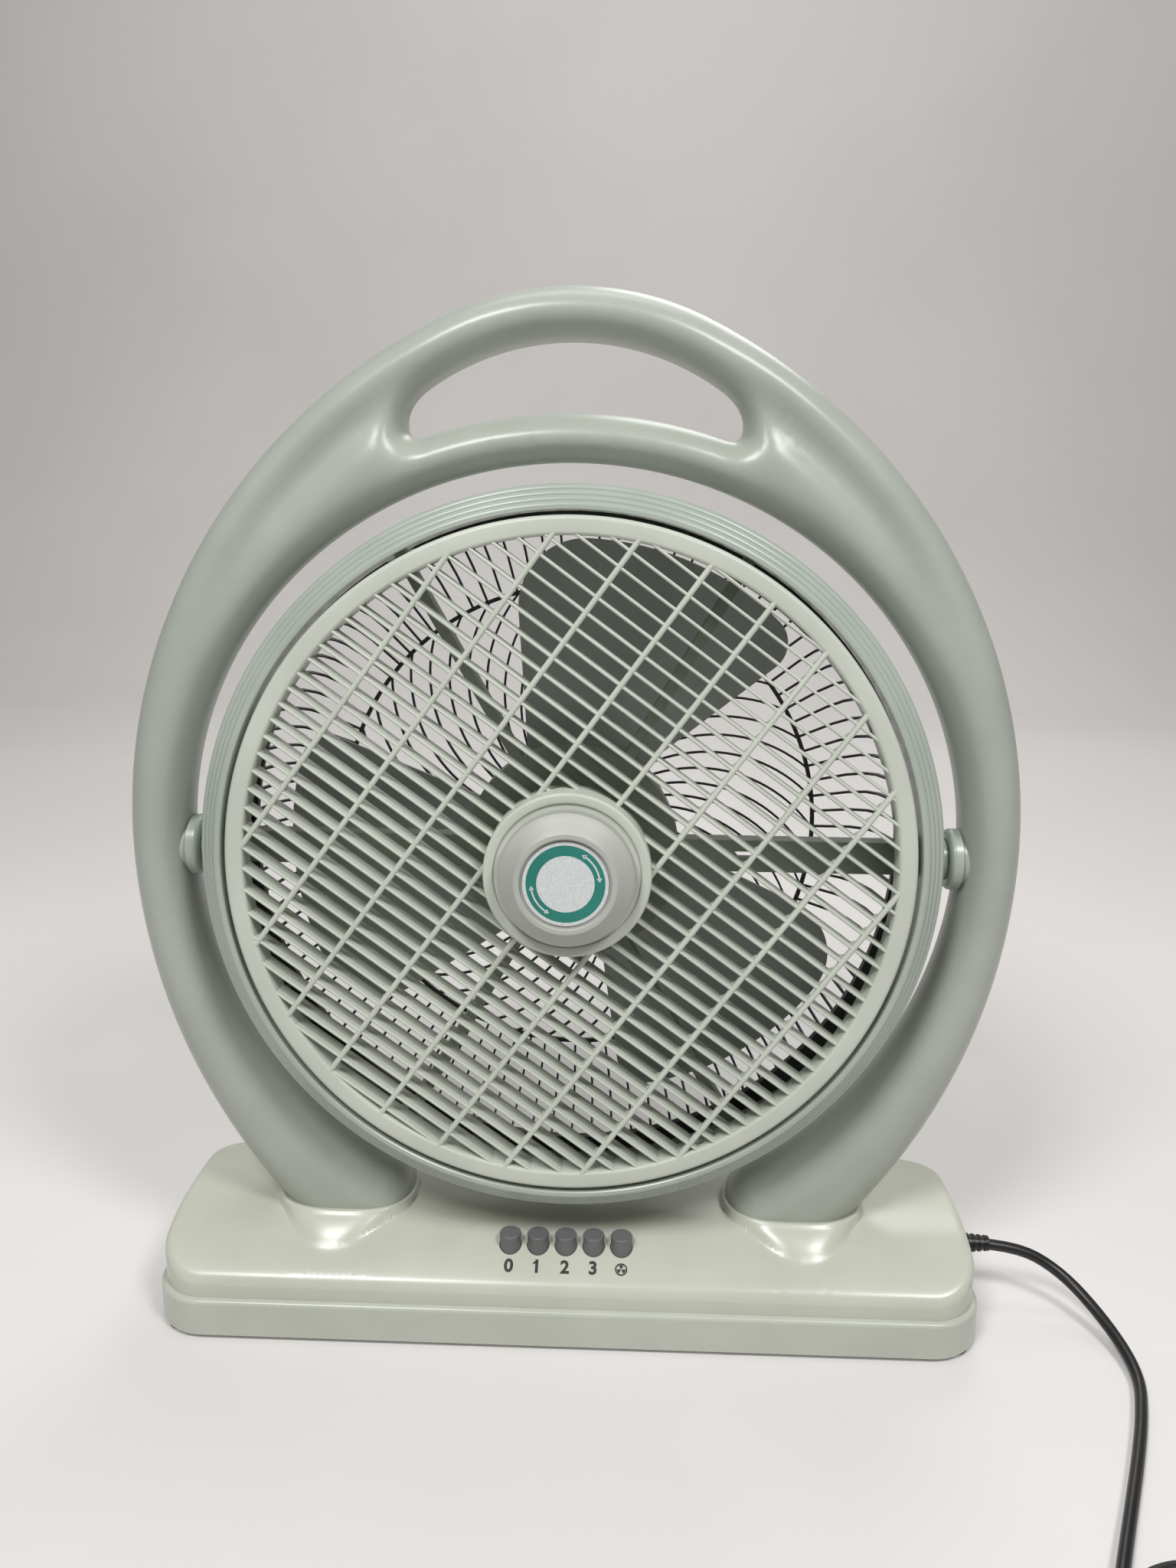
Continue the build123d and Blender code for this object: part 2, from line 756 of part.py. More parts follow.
drum_ring = revolve(make_face([*ridges, wall_line]), Axis.Y)
boss_turn = 360 / guard_bar_count / 2
ring_boss = rod_y(ring_boss_radius, ring_rear - ring_boss_length, ring_rear, 0, ring_boss_place)
ring_bosses = around(ring_boss, guard_screw_count, boss_turn)
boss_bore_front = ring_rear - screw_length - ring_bore_extra
ring_boss_bore = rod_y(screw_bore, boss_bore_front, ring_rear, 0, ring_boss_place)
boss_bores = around(ring_boss_bore, guard_screw_count, boss_turn)
pad_end = ring_rear_radius - pivot_pad_bite
pads = [rod_x(pivot_pad_radius, side * pivot_pad_face, side * pad_end) for side in (-1, 1)]
pin_hole_end = ring_radius + pin_hole_overrun
pin_holes = rod_x(collar_radius + bush_clearance, -pin_hole_end, pin_hole_end)
slim_angles = [slim_arm_angle, 180 - slim_arm_angle, 180 + slim_arm_angle, 360 - slim_arm_angle]
post_mid = (arm_post_inner + arm_post_outer) / 2
ledge_bores = [
    Rot(0, a, 0) * rod_y(screw_bore, bezel_ledge - screw_length, bezel_ledge, 0, post_mid)
    for a in slim_angles
]
drum_ring = drum_ring + ring_bosses + pads - boss_bores - pin_holes - ledge_bores
write_drum(drum_ring, "drum_ring")

# Rear guard: side bars that bend into the back, a mid ring and swept bars round a small hub
guard_inner = guard_back - guard_bar_depth
bend_r = (guard_side_rear + guard_back_radius) / 2 + guard_bend_out
bend_y = guard_back - guard_bend_back
bend_depth = guard_bar_depth * guard_bend_share
outer_run = [
    (guard_side_front, ring_rear),
    (guard_side_rear, guard_side_end),
    (bend_r, bend_y),
    (guard_back_radius, guard_back),
    (guard_ring_radius, guard_back),
]
inner_run = [
    (guard_ring_radius, guard_inner),
    (guard_back_radius - guard_bend_trim, guard_inner),
    (bend_r - bend_depth, bend_y - bend_depth),
    (guard_side_rear - guard_bar_depth, guard_side_end - guard_bend_trim),
    (guard_side_front - guard_bar_depth, ring_rear),
]
side_bar = extrude(make_face(Polyline(*outer_run, *inner_run, close=True)), guard_bar_width / 2, both=True)
rim = lathe(
    (guard_rim_inner, ring_rear),
    (ring_rear_radius, ring_rear),
    (ring_rear_radius, ring_rear + guard_rim_thickness),
    (guard_rim_inner, ring_rear + guard_rim_thickness),
)
mid_ring = lathe(
    (guard_ring_radius - guard_ring_width / 2, guard_inner),
    (guard_ring_radius + guard_ring_width / 2, guard_inner),
    (guard_ring_radius + guard_ring_width / 2, guard_back),
    (guard_ring_radius - guard_ring_width / 2, guard_back),
)
hub_disc = rod_y(guard_hub_radius, guard_inner, guard_back)
swirl = ThreePointArc(
    polar(guard_hub_radius - guard_hub_bite, 0),
    polar((guard_hub_radius + guard_ring_radius) / 2, guard_spiral_turn * guard_spiral_mid),
    polar(guard_ring_radius, guard_spiral_turn),
)
swirl_bar = Pos(0, guard_back, 0) * extrude(Plane.XZ * trace(swirl, guard_bar_width), guard_bar_depth)
guard_parts = around(side_bar, guard_bar_count) + around(swirl_bar, guard_spiral_count) + [mid_ring, hub_disc]
rear_guard = rim + guard_parts
rim_rear = ring_rear + guard_rim_thickness
rim_hole = rod_y(screw_bore, ring_rear, rim_rear, 0, ring_boss_place)
rear_guard = rear_guard - around(rim_hole, guard_screw_count, boss_turn)
write_drum(rear_guard, "rear_guard")
guard_screw = screw_forward(0, ring_boss_place, rim_rear, screw_length)
write_drum(Compound(around(guard_screw, guard_screw_count, boss_turn)), "guard_screws")

# Front spider that carries the motor
hub_back = hub_front + hub_plate
spider = lathe(
    (0, hub_front),
    (hub_radius, hub_front),
    (hub_radius, hub_skirt_end),
    (hub_radius - hub_wall, hub_skirt_end),
    (hub_radius - hub_wall, hub_back),
    (0, hub_back),
)
arm_back = hub_front + arm_depth
wide_end = pivot_pad_face - flange_thickness - arm_end_gap
arm_root = hub_radius - arm_bite
half_wide = wide_arm_width / 2
half_slim = slim_arm_width / 2
half_post = arm_post_width / 2
arms = []
for side in (-1, 1):
    arms.append(block(side * arm_root, side * wide_end, hub_front, arm_back, -half_wide, half_wide))
for a in slim_angles:
    arm = block(-half_slim, half_slim, hub_front, arm_back, arm_root, arm_post_outer)
    post = block(-half_post, half_post, bezel_ledge, arm_back, arm_post_inner, arm_post_outer)
    bore = rod_y(screw_bore, bezel_ledge, arm_back, 0, post_mid)
    arms.append(Rot(0, a, 0) * (arm + post - bore))
arm_window = block(arm_window_radius - arm_window_width / 2, arm_window_radius + arm_window_width / 2,
                   hub_front, arm_back, -arm_window_height / 2, arm_window_height / 2)
motor_hole_end = hub_front + motor_screw_length + motor_screw_tip_gap
motor_screw_hole = rod_y(screw_bore, hub_front, motor_hole_end, 0, motor_screw_radius)
motor_screw_holes = around(motor_screw_hole, motor_screw_count, motor_screw_turn)
front_spider = spider + arms - arm_window - motor_screw_holes
write_drum(front_spider, "front_spider")
spider_screw_length = arm_back - bezel_ledge + screw_length - spider_screw_room
spider_screw = screw_forward(0, post_mid, arm_back, spider_screw_length)
write_drum(Compound([Rot(0, a, 0) * spider_screw for a in slim_angles]), "spider_screws")
motor_screw = screw_back(0, motor_screw_radius, hub_front, motor_screw_length)
write_drum(Compound(around(motor_screw, motor_screw_count, motor_screw_turn)), "motor_screws")

# Main motor inside the spider hub
bell_bore = stator_radius + stator_clearance
front_bearing = hub_back + bearing_web
rear_bearing_end = motor_end - bearing_recess
rear_bearing = rear_bearing_end - bearing_length
seat_radius = bearing_radius + bearing_clearance
front_bell = lathe(
    (0, hub_back),
    (motor_radius, hub_back),
    (motor_radius, bell_split),
    (bell_bore, bell_split),
    (bell_bore, hub_back + motor_plate),
    (bearing_boss_radius, hub_back + motor_plate),
    (bearing_boss_radius, front_bearing + bearing_length),
    (seat_radius, front_bearing + bearing_length),
    (seat_radius, front_bearing),
    (0, front_bearing),
)
front_bell = front_bell - motor_screw_holes
write_drum(front_bell, "motor_front_bell")
rear_bell = lathe(
    (seat_radius, motor_end),
    (motor_radius, motor_end),
    (motor_radius, bell_split),
    (bell_bore, bell_split),
    (bell_bore, motor_end - motor_plate),
    (bearing_boss_radius, motor_end - motor_plate),
    (bearing_boss_radius, rear_bearing),
    (seat_radius, rear_bearing),
)
write_drum(rear_bell, "motor_rear_bell")
shaft_bore = shaft_radius + bearing_clearance
for name, start in (("front", front_bearing), ("rear", rear_bearing)):
    end = start + bearing_length
    bearing = rod_y(bearing_radius, start, end) - rod_y(shaft_bore, start, end)
    write_drum(bearing, f"bearing_{name}")
stator = rod_y(stator_radius, stator_front, stator_rear) - rod_y(stator_bore, stator_front, stator_rear)
write_drum(stator, "stator_core")
windings = []
front_span = (stator_front - winding_length, stator_front)
rear_span = (stator_rear, stator_rear + winding_length)
for start, end in (front_span, rear_span):
    ring = rod_y(winding_outer, start, end) - rod_y(winding_inner, start, end)
    far = 0 if start < stator_front else -1
    windings.append(fillet(ring.edges().filter_by(GeomType.CIRCLE).group_by(Axis.Y)[far], winding_edge))
write_drum(Compound(windings), "stator_windings")

# Rotor: core, shaft, three-bladed fan and its nut
rotor_core = rod_y(stator_bore - rotor_gap, stator_front, stator_rear)
rotor_core = rotor_core - rod_y(shaft_radius + hub_fit, stator_front, stator_rear)
write_drum(rotor_core, "rotor_core")
write_drum(rod_y(shaft_radius, shaft_front, shaft_rear), "motor_shaft")

blade_cup = lathe(
    (shaft_radius + hub_fit, blade_boss_front),
    (blade_boss_radius, blade_boss_front),
    (blade_boss_radius, blade_cup_rear - blade_cup_wall),
    (blade_cup_radius - blade_cup_wall, blade_cup_rear - blade_cup_wall),
    (blade_cup_radius - blade_cup_wall, blade_cup_front),
    (blade_cup_radius, blade_cup_front),
    (blade_cup_radius, blade_cup_rear),
    (shaft_radius + hub_fit, blade_cup_rear),
)
blade_sheet_start = blade_trail_root - blade_sheet_margin
blade_sheet_end = blade_lead_tip + blade_sheet_margin
blade_span = blade_lead_tip - blade_trail_root
blade_root = blade_cup_radius - blade_cup_wall / 2
sections = []
for k in range(blade_sections):
    a = blade_sheet_start + (blade_sheet_end - blade_sheet_start) * k / (blade_sections - 1)
    y = blade_front + (blade_rear - blade_front) * (a - blade_trail_root) / blade_span
    sin_a, cos_a = math.sin(math.radians(a)), math.cos(math.radians(a))
    plane = Plane(origin=(0, y, 0), x_dir=(sin_a, 0, cos_a), z_dir=(cos_a, 0, -sin_a))
    length = blade_tip_radius + blade_tip_margin - blade_root
    sections.append(plane * Pos(blade_root + length / 2, 0) * Rectangle(length, blade_thickness))
blade_sheet = loft(sections)
tip_trail = polar(blade_tip_radius, blade_trail_tip)
tip_lead = polar(blade_tip_radius, blade_lead_tip)
tip_mid = polar(blade_tip_radius, (blade_trail_tip + blade_lead_tip) / 2)
root_inner = blade_root - blade_root_bite
root_trail = polar(root_inner, blade_trail_root)
root_lead = polar(root_inner, blade_lead_root)
outline = make_face([
    Line(root_trail, tip_trail),
    ThreePointArc(tip_trail, tip_mid, tip_lead),
    Line(tip_lead, root_lead),
    Line(root_lead, root_trail),
])
outline = fillet(outline.vertices().sort_by_distance((*tip_lead, 0))[0], blade_lead_corner)
outline = fillet(outline.vertices().sort_by_distance((*tip_trail, 0))[0], blade_trail_corner)
blade = blade_sheet & extrude(Plane.XZ * outline, -guard_back)
fan_blade = blade_cup + around(blade, blade_count)
write_drum(fan_blade, "fan_blade")
nut = extrude(Plane.XZ * RegularPolygon(nut_radius, nut_facets), -nut_length)
nut_bore = rod_y(shaft_radius + hub_fit, blade_cup_rear, shaft_rear + nut_tip_gap)
nut = Pos(0, blade_cup_rear, 0) * nut - nut_bore
write_drum(nut, "blade_nut")

# Louver: rim, slats and bars, turned as one on the spindle
louver_back = louver_front + louver_depth
rim_mid = louver_radius - louver_rim_width / 2
rim_inner = louver_radius - louver_rim_width
rim = rod_y(louver_radius, louver_front, louver_back) - rod_y(rim_inner, louver_front, louver_back)
rim = fillet(rim.edges().filter_by(GeomType.CIRCLE).group_by(Axis.Y)[0], louver_rim_edge)
slat_count = int(2 * (rim_inner - slat_thickness) / slat_pitch) // 2
slat_front = louver_front + slat_setback
slat_back = slat_front + slat_depth
half_slat = slat_thickness / 2
slats = []
for k in range(-slat_count, slat_count + 1):
    z = k * slat_pitch
    half = math.sqrt(rim_mid ** 2 - z ** 2)
    slats.append(block(-half, half, slat_front, slat_back, z - half_slat, z + half_slat))
bar_count = int((rim_inner - bar_width) / bar_pitch)
bar_back = louver_front + bar_depth
half_bar = bar_width / 2
bars = []
for k in range(-bar_count, bar_count + 1):
    x = k * bar_pitch
    half = math.sqrt(rim_mid ** 2 - x ** 2)
    bars.append(block(x - half_bar, x + half_bar, louver_front, bar_back, -half, half))
louver_plate_back = louver_hub_front + louver_hub_plate
boss_bore = spindle_radius + spindle_clearance
louver_hub = lathe(
    (boss_bore, recess_floor),
    (recess_radius, recess_floor),
    (recess_radius, louver_hub_front),
    (louver_hub_radius - louver_hub_edge, louver_hub_front),
    (louver_hub_radius, louver_hub_front + louver_hub_edge),
    (louver_hub_radius, louver_hub_rear),
    (louver_hub_radius - louver_hub_wall, louver_hub_rear),
    (louver_hub_radius - louver_hub_wall, louver_plate_back),
    (louver_boss_radius, louver_plate_back),
    (louver_boss_radius, louver_boss_rear),
    (boss_bore, louver_boss_rear),
)
core_front = louver_front - louver_core_overrun
core_back = louver_back + louver_core_overrun
hub_core = rod_y(louver_hub_radius - louver_hub_wall / 2, core_front, core_back)
louver = rim + (slats + bars)
louver = louver - hub_core + louver_hub
louver_turn = Rot(0, louver_angle, 0)
write_drum(louver_turn * louver, "louver_grille")

spindle = rod_y(spindle_radius, spindle_front, spindle_rear)
spindle = spindle + rod_y(spindle_collar_radius, louver_boss_rear, louver_boss_rear + spindle_collar)
write_drum(spindle, "louver_spindle")
louver_motor_front = hub_front - louver_motor_height
louver_motor = rod_y(louver_motor_radius, louver_motor_front, hub_front)
louver_motor = louver_motor - rod_y(boss_bore, louver_motor_front, louver_motor_front + louver_motor_bore)
write_drum(louver_motor, "louver_motor")

# Knob that loosens and fastens the louver
knob_grip_end = knob_back - knob_grip
crest_inner = knob_crest - knob_crest_width
label_seat = knob_front + knob_recess
knob = lathe(
    (0, label_seat),
    (crest_inner, label_seat),
    (crest_inner, knob_front + knob_crest_drop),
    (crest_inner + knob_crest_bevel, knob_front),
    (knob_crest, knob_front),
    (knob_radius - knob_edge_bevel, knob_grip_end),
    (knob_radius, knob_grip_end + knob_edge_drop),
    (knob_radius, knob_back),
    (0, knob_back),
)
flute_place = knob_radius + flute_radius - flute_depth
flute = rod_y(flute_radius, knob_grip_end - flute_overrun, knob_back, 0, flute_place)
knob = knob - around(flute, knob_flutes)
knob = knob - rod_y(boss_bore, spindle_front - spindle_tip_gap, knob_back)
write_drum(knob, "louver_knob")
write_drum(rod_y(label_radius, label_seat - label_thickness, label_seat), "knob_label")

# Mains lead: strain relief, the run to the table, the wound spare length, its tie and the plug
relief_face = cover_half_width
relief_inside = relief_face - cover_wall
relief = rod_x(relief_flange_radius, relief_inside - relief_flange, relief_inside)
relief = relief + rod_x(relief_root_radius, relief_inside, relief_face)
relief_sleeve = Rot(0, 90, 0) * Cone(relief_root_radius, relief_tip_radius, relief_length)
relief = relief + Pos(relief_face + relief_length / 2, 0, 0) * relief_sleeve
groove_step = relief_length / (relief_grooves + 1)
for k in range(relief_grooves):
    x = relief_face + groove_step * (k + 1)
    taper = (relief_root_radius - relief_tip_radius) * (x - relief_face) / relief_length
    x0 = x - relief_groove_half
    x1 = x + relief_groove_half
    hoop = rod_x(relief_flange_radius, x0, x1)
    relief = relief - (hoop - rod_x(relief_root_radius - taper - relief_groove, x0, x1))
relief = relief - rod_x(cord_radius + relief_fit, relief_face + cord_start, base_width)
write(Pos(0, cord_exit_y, cord_exit_z) * relief, "strain_relief")

lying = cord_radius + table_gap
coil_low = coil_lift + cord_radius
heading = Vector(1, 0, 0).rotate(Axis.Z, coil_heading)
outward = heading.rotate(Axis.Z, -90)
cord_route = [
    (relief_face + cord_start, cord_exit_y, cord_exit_z),
    (266.0, cord_exit_y, cord_exit_z),
    (294.0, -12.0, 23.0),
    (312.5, -40.0, 9.5),
    (318.0, -73.0, lying),
    (306.5, -104.0, lying),
    (292.0, -134.0, lying),
    (277.5, -162.0, lying),
    (263.0, -190.0, coil_low),
]
coil_start = Vector(*cord_route[-1]) + heading * coil_approach
cord_route.append((coil_start.X, coil_start.Y, coil_low))


def bend_radii(points):
    """The largest even bend at each corner that uses under half of its shorter run."""
    radii = []
    for before, corner, after in zip(points[:-2], points[1:-1], points[2:]):
        run_in = Vector(*corner) - Vector(*before)
        run_out = Vector(*after) - Vector(*corner)
        half_turn = math.radians(run_in.get_angle(run_out)) / 2
        radii.append(bend_share * min(run_in.length, run_out.length) / math.tan(half_turn))
    return radii


cord_path = FilletPolyline(*cord_route, radius=bend_radii(cord_route))
cord_section = Plane(origin=cord_path @ 0, z_dir=cord_path % 0) * Circle(cord_radius)
power_cord = sweep(cord_section, cord_path)
write(power_cord, "power_cord")
print("cord bends", [round(r, 1) for r in bend_radii(cord_route)])
cord_area = math.pi * cord_radius ** 2
cord_share = power_cord.volume / (cord_area * cord_path.length)
print("cord length", round(cord_path.length, 1), "volume ratio", round(cord_share, 4))

# Wound spare lead: in along the lower layer, up at the middle, out along the upper layer
coil_outer = coil_mid_radius + coil_pitch * coil_turns / 2
coil_radii = [coil_outer - coil_pitch / 2 * k for k in range(2 * coil_turns)] + [coil_climb_radius]
coil_radii = coil_radii + coil_radii[::-1]
coil_high = coil_low + coil_pitch
coil_entry = coil_start + heading * cord_diameter
coil_centre = coil_entry - outward * coil_outer


def coil_knot(k):
    swing = outward if k % 2 == 0 else outward * -1
    height = coil_low if k < len(coil_radii) / 2 else coil_high
    place = coil_centre + swing * coil_radii[k]
    return Vector(place.X, place.Y, height), heading if k % 2 == 0 else heading * -1


coil_edges = [Line(coil_start, coil_entry)]
for k in range(len(coil_radii) - 1):
    p0, t0 = coil_knot(k)
    p1, t1 = coil_knot(k + 1)
    reach = (p1 - p0).length / 2
    middle = (p0 + t0 * reach + p1 - t1 * reach) * 0.5
    first = TangentArc(p0, middle, tangent=t0)
    coil_edges.append(first)
    coil_edges.append(TangentArc(middle, p1, tangent=first % 1))
coil_exit, tail_way = coil_knot(len(coil_radii) - 1)
tail_end = coil_exit + tail_way * coil_tail
coil_edges.append(Line(coil_exit, tail_end))
coil_path = Wire(coil_edges)
coil_section = Plane(origin=coil_path @ 0, z_dir=coil_path % 0) * Circle(cord_radius)
cord_coil = sweep(coil_section, coil_path)
write(cord_coil, "cord_coil")
coil_steps = int(coil_path.length / cord_radius)
coil_points = [coil_path @ (k / coil_steps) for k in range(coil_steps + 1)]
far_apart = int(self_gap_span * cord_diameter / cord_radius)
least = min(
    (coil_points[i] - coil_points[j]).length
    for i in range(len(coil_points)) for j in range(i + far_apart, len(coil_points))
)
coil_share = cord_coil.volume / (cord_area * coil_path.length)
print("coil length", round(coil_path.length, 1), "volume ratio", round(coil_share, 4))
print("least self gap", round(least - cord_diameter, 2))

# Tie round the wound lead, on the side where no turn climbs
tie_radii = [(coil_radii[k] + coil_radii[k + 1]) / 2 for k in range(1, 2 * coil_turns, 2)]
tie_inner = min(tie_radii) - cord_radius - tie_gap
tie_outer = max(tie_radii) + cord_radius + tie_gap
tie_width_across = tie_outer - tie_inner
tie_rise = coil_pitch + cord_diameter + 2 * tie_gap
tie_mid = coil_centre - heading * ((tie_inner + tie_outer) / 2)
tie_plane = Plane(origin=(tie_mid.X, tie_mid.Y, (coil_low + coil_high) / 2), x_dir=heading, z_dir=outward)
tie_loop = Rectangle(tie_width_across + 2 * tie_thickness, tie_rise + 2 * tie_thickness)
tie_loop = tie_loop - Rectangle(tie_width_across, tie_rise)
write(extrude(tie_plane * tie_loop, tie_width / 2, both=True), "cord_tie")

plug_height = 2 * (coil_high - plug_lift)
plug_place = Plane(origin=tail_end, x_dir=tail_way.rotate(Axis.Z, -90), z_dir=tail_way)
plug_body = extrude(plug_place * RectangleRounded(plug_width, plug_height, plug_edge), plug_length)
plug_nose = Plane(origin=tail_end + tail_way * plug_length, x_dir=plug_place.x_dir, z_dir=tail_way)
write(plug_body, "plug_body")
prong = Rectangle(prong_thickness, prong_width)
prongs = [extrude(plug_nose * Pos(sx * prong_spacing / 2, 0) * prong, prong_length) for sx in (-1, 1)]
write(Compound(prongs), "plug_prongs")
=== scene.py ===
import math

import bmesh
import bpy
import numpy as np
from mathutils import Matrix, Vector
from mathutils.geometry import delaunay_2d_cdt


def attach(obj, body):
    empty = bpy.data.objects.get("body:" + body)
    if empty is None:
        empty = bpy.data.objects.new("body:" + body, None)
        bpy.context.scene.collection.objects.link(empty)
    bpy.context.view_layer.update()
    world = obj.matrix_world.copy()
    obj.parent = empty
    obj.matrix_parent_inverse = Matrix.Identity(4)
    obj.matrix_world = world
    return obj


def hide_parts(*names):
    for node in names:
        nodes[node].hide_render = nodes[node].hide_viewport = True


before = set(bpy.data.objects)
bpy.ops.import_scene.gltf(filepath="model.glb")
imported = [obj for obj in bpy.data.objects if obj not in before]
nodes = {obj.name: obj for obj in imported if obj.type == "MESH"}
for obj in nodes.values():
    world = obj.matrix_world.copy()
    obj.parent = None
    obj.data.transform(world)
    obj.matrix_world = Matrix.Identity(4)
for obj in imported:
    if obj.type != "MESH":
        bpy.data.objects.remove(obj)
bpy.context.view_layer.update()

scene = bpy.context.scene
MM = 0.001

# Places shared with the CAD, in millimetres, before the frame's shift along Y
SHIFT_Y = -7.5025
PIVOT_Z = 275.0
TILT = math.radians(3.3)
stand_frame = Matrix.Translation((0, SHIFT_Y * MM, 0)) @ Matrix.Scale(MM, 4)
drum_frame = stand_frame @ Matrix.Translation((0, 0, PIVOT_Z)) @ Matrix.Rotation(-TILT, 4, "X")


# Camera solved from the photograph: angles in radians, its place in millimetres, the focus in pixels
CAMERA_YAW = 0.0328
CAMERA_PITCH = 0.2525
CAMERA_ROLL = 0.0104
CAMERA_PLACE = (29.39, -630.99, 476.97)
FOCUS_PIXELS = 1542.27
PICTURE_PIXELS = 2048
SENSOR_HEIGHT = 36.0
SENSOR_WIDTH = 27.0
CLIP_START = 0.01
CLIP_END = 50


def photo_camera():
    forward = Vector((
        -math.sin(CAMERA_YAW) * math.cos(CAMERA_PITCH),
        math.cos(CAMERA_YAW) * math.cos(CAMERA_PITCH),
        -math.sin(CAMERA_PITCH),
    ))
    right = Vector((math.cos(CAMERA_YAW), math.sin(CAMERA_YAW), 0))
    up = right.cross(forward)
    right_rolled = right * math.cos(CAMERA_ROLL) + up * math.sin(CAMERA_ROLL)
    up_rolled = up * math.cos(CAMERA_ROLL) - right * math.sin(CAMERA_ROLL)
    data = bpy.data.cameras.new("camera")
    data.sensor_fit = "VERTICAL"
    data.sensor_height = SENSOR_HEIGHT
    data.sensor_width = SENSOR_WIDTH
    data.lens = FOCUS_PIXELS / PICTURE_PIXELS * SENSOR_HEIGHT
    data.clip_start = CLIP_START
    data.clip_end = CLIP_END
    camera = bpy.data.objects.new("camera", data)
    scene.collection.objects.link(camera)
    axes = Matrix((right_rolled, up_rolled, -forward)).transposed().to_4x4()
    camera.matrix_world = Matrix.Translation(stand_frame @ Vector(CAMERA_PLACE)) @ axes
    scene.camera = camera


photo_camera()
scene.view_settings.view_transform = "Standard"


# Finishes: a slow mottle between two close colours and in the gloss, and a fine grain in the surface
TONE_SPAN = (0.38, 0.62)
MOTTLE_DETAIL = 5.0
GRAIN_DEPTH = 0.0005


def finish(name, dark, light, mottle=18.0, rough=(0.35, 0.45), grain=900.0, bump=0.02, metallic=0.0):
    material = bpy.data.materials.new(name)
    material.use_nodes = True
    tree = material.node_tree
    shader = tree.nodes["Principled BSDF"]
    shader.inputs["Metallic"].default_value = metallic
    place = tree.nodes.new("ShaderNodeTexCoord")
    slow = tree.nodes.new("ShaderNodeTexNoise")
    slow.inputs["Scale"].default_value = mottle
    slow.inputs["Detail"].default_value = MOTTLE_DETAIL
    tones = tree.nodes.new("ShaderNodeValToRGB")
    tones.color_ramp.elements[0].position = TONE_SPAN[0]
    tones.color_ramp.elements[0].color = (*dark, 1)
    tones.color_ramp.elements[1].position = TONE_SPAN[1]
    tones.color_ramp.elements[1].color = (*light, 1)
    gloss = tree.nodes.new("ShaderNodeValToRGB")
    gloss.color_ramp.elements[0].color = (rough[0],) * 3 + (1,)
    gloss.color_ramp.elements[1].color = (rough[1],) * 3 + (1,)
    fine = tree.nodes.new("ShaderNodeTexNoise")
    fine.inputs["Scale"].default_value = grain
    relief = tree.nodes.new("ShaderNodeBump")
    relief.inputs["Strength"].default_value = bump
    relief.inputs["Distance"].default_value = GRAIN_DEPTH
    tree.links.new(place.outputs["Object"], slow.inputs["Vector"])
    tree.links.new(place.outputs["Object"], fine.inputs["Vector"])
    tree.links.new(slow.outputs["Fac"], tones.inputs["Fac"])
    tree.links.new(slow.outputs["Fac"], gloss.inputs["Fac"])
    tree.links.new(tones.outputs["Color"], shader.inputs["Base Color"])
    tree.links.new(gloss.outputs["Color"], shader.inputs["Roughness"])
    tree.links.new(fine.outputs["Fac"], relief.inputs["Height"])
    tree.links.new(relief.outputs["Normal"], shader.inputs["Normal"])
    return material


arch_plastic = finish("arch_plastic", (0.355, 0.385, 0.335), (0.385, 0.415, 0.365), rough=(0.28, 0.36))
cover_plastic = finish("cover_plastic", (0.525, 0.54, 0.455), (0.56, 0.575, 0.49), rough=(0.22, 0.30))
tray_plastic = finish("tray_plastic", (0.49, 0.515, 0.445), (0.525, 0.55, 0.48), rough=(0.24, 0.34))
ring_plastic = finish("ring_plastic", (0.36, 0.405, 0.355), (0.39, 0.435, 0.385), rough=(0.24, 0.32))
louver_plastic = finish("louver_plastic", (0.50, 0.53, 0.465), (0.545, 0.575, 0.505), rough=(0.38, 0.46))
knob_plastic = finish(
    "knob_plastic", (0.42, 0.43, 0.395), (0.46, 0.47, 0.435), rough=(0.48, 0.56), metallic=0.15
)
guard_plastic = finish("guard_plastic", (0.028, 0.029, 0.025), (0.042, 0.043, 0.038), rough=(0.45, 0.55))
# The spider is the louver's pale green plastic, made darker here: painted shade for the shadow the louver
# casts on it
spider_painted_shade = finish("spider_painted_shade", (0.27, 0.30, 0.245), (0.31, 0.34, 0.28), rough=(0.45, 0.55))
blade_plastic = finish("blade_plastic", (0.45, 0.475, 0.455), (0.49, 0.515, 0.495), rough=(0.38, 0.48))
button_plastic = finish("button_plastic", (0.125, 0.125, 0.128), (0.155, 0.155, 0.158), rough=(0.4, 0.5))
black_ink = finish("black_ink", (0.012, 0.012, 0.012), (0.02, 0.02, 0.02), rough=(0.5, 0.6))
teal_ink = finish("teal_ink", (0.011, 0.165, 0.13), (0.016, 0.195, 0.155), rough=(0.45, 0.55))
label_paper = finish(
    "label_paper", (0.55, 0.575, 0.575), (0.64, 0.665, 0.665), mottle=900.0, rough=(0.5, 0.6)
)
lead_vinyl = finish("lead_vinyl", (0.006, 0.006, 0.006), (0.012, 0.012, 0.012), rough=(0.32, 0.42))
dark_rubber = finish("dark_rubber", (0.012, 0.012, 0.012), (0.02, 0.02, 0.02), rough=(0.6, 0.75))
screw_steel = finish("screw_steel", (0.42, 0.42, 0.40), (0.50, 0.50, 0.48), rough=(0.3, 0.4), metallic=1.0)
motor_steel = finish("motor_steel", (0.24, 0.24, 0.24), (0.30, 0.30, 0.30), rough=(0.35, 0.5), metallic=1.0)
prong_brass = finish("prong_brass", (0.55, 0.42, 0.20), (0.62, 0.48, 0.24), rough=(0.25, 0.35), metallic=1.0)
winding_copper = finish(
    "winding_copper", (0.36, 0.13, 0.06), (0.44, 0.17, 0.08), rough=(0.35, 0.45), metallic=0.8
)

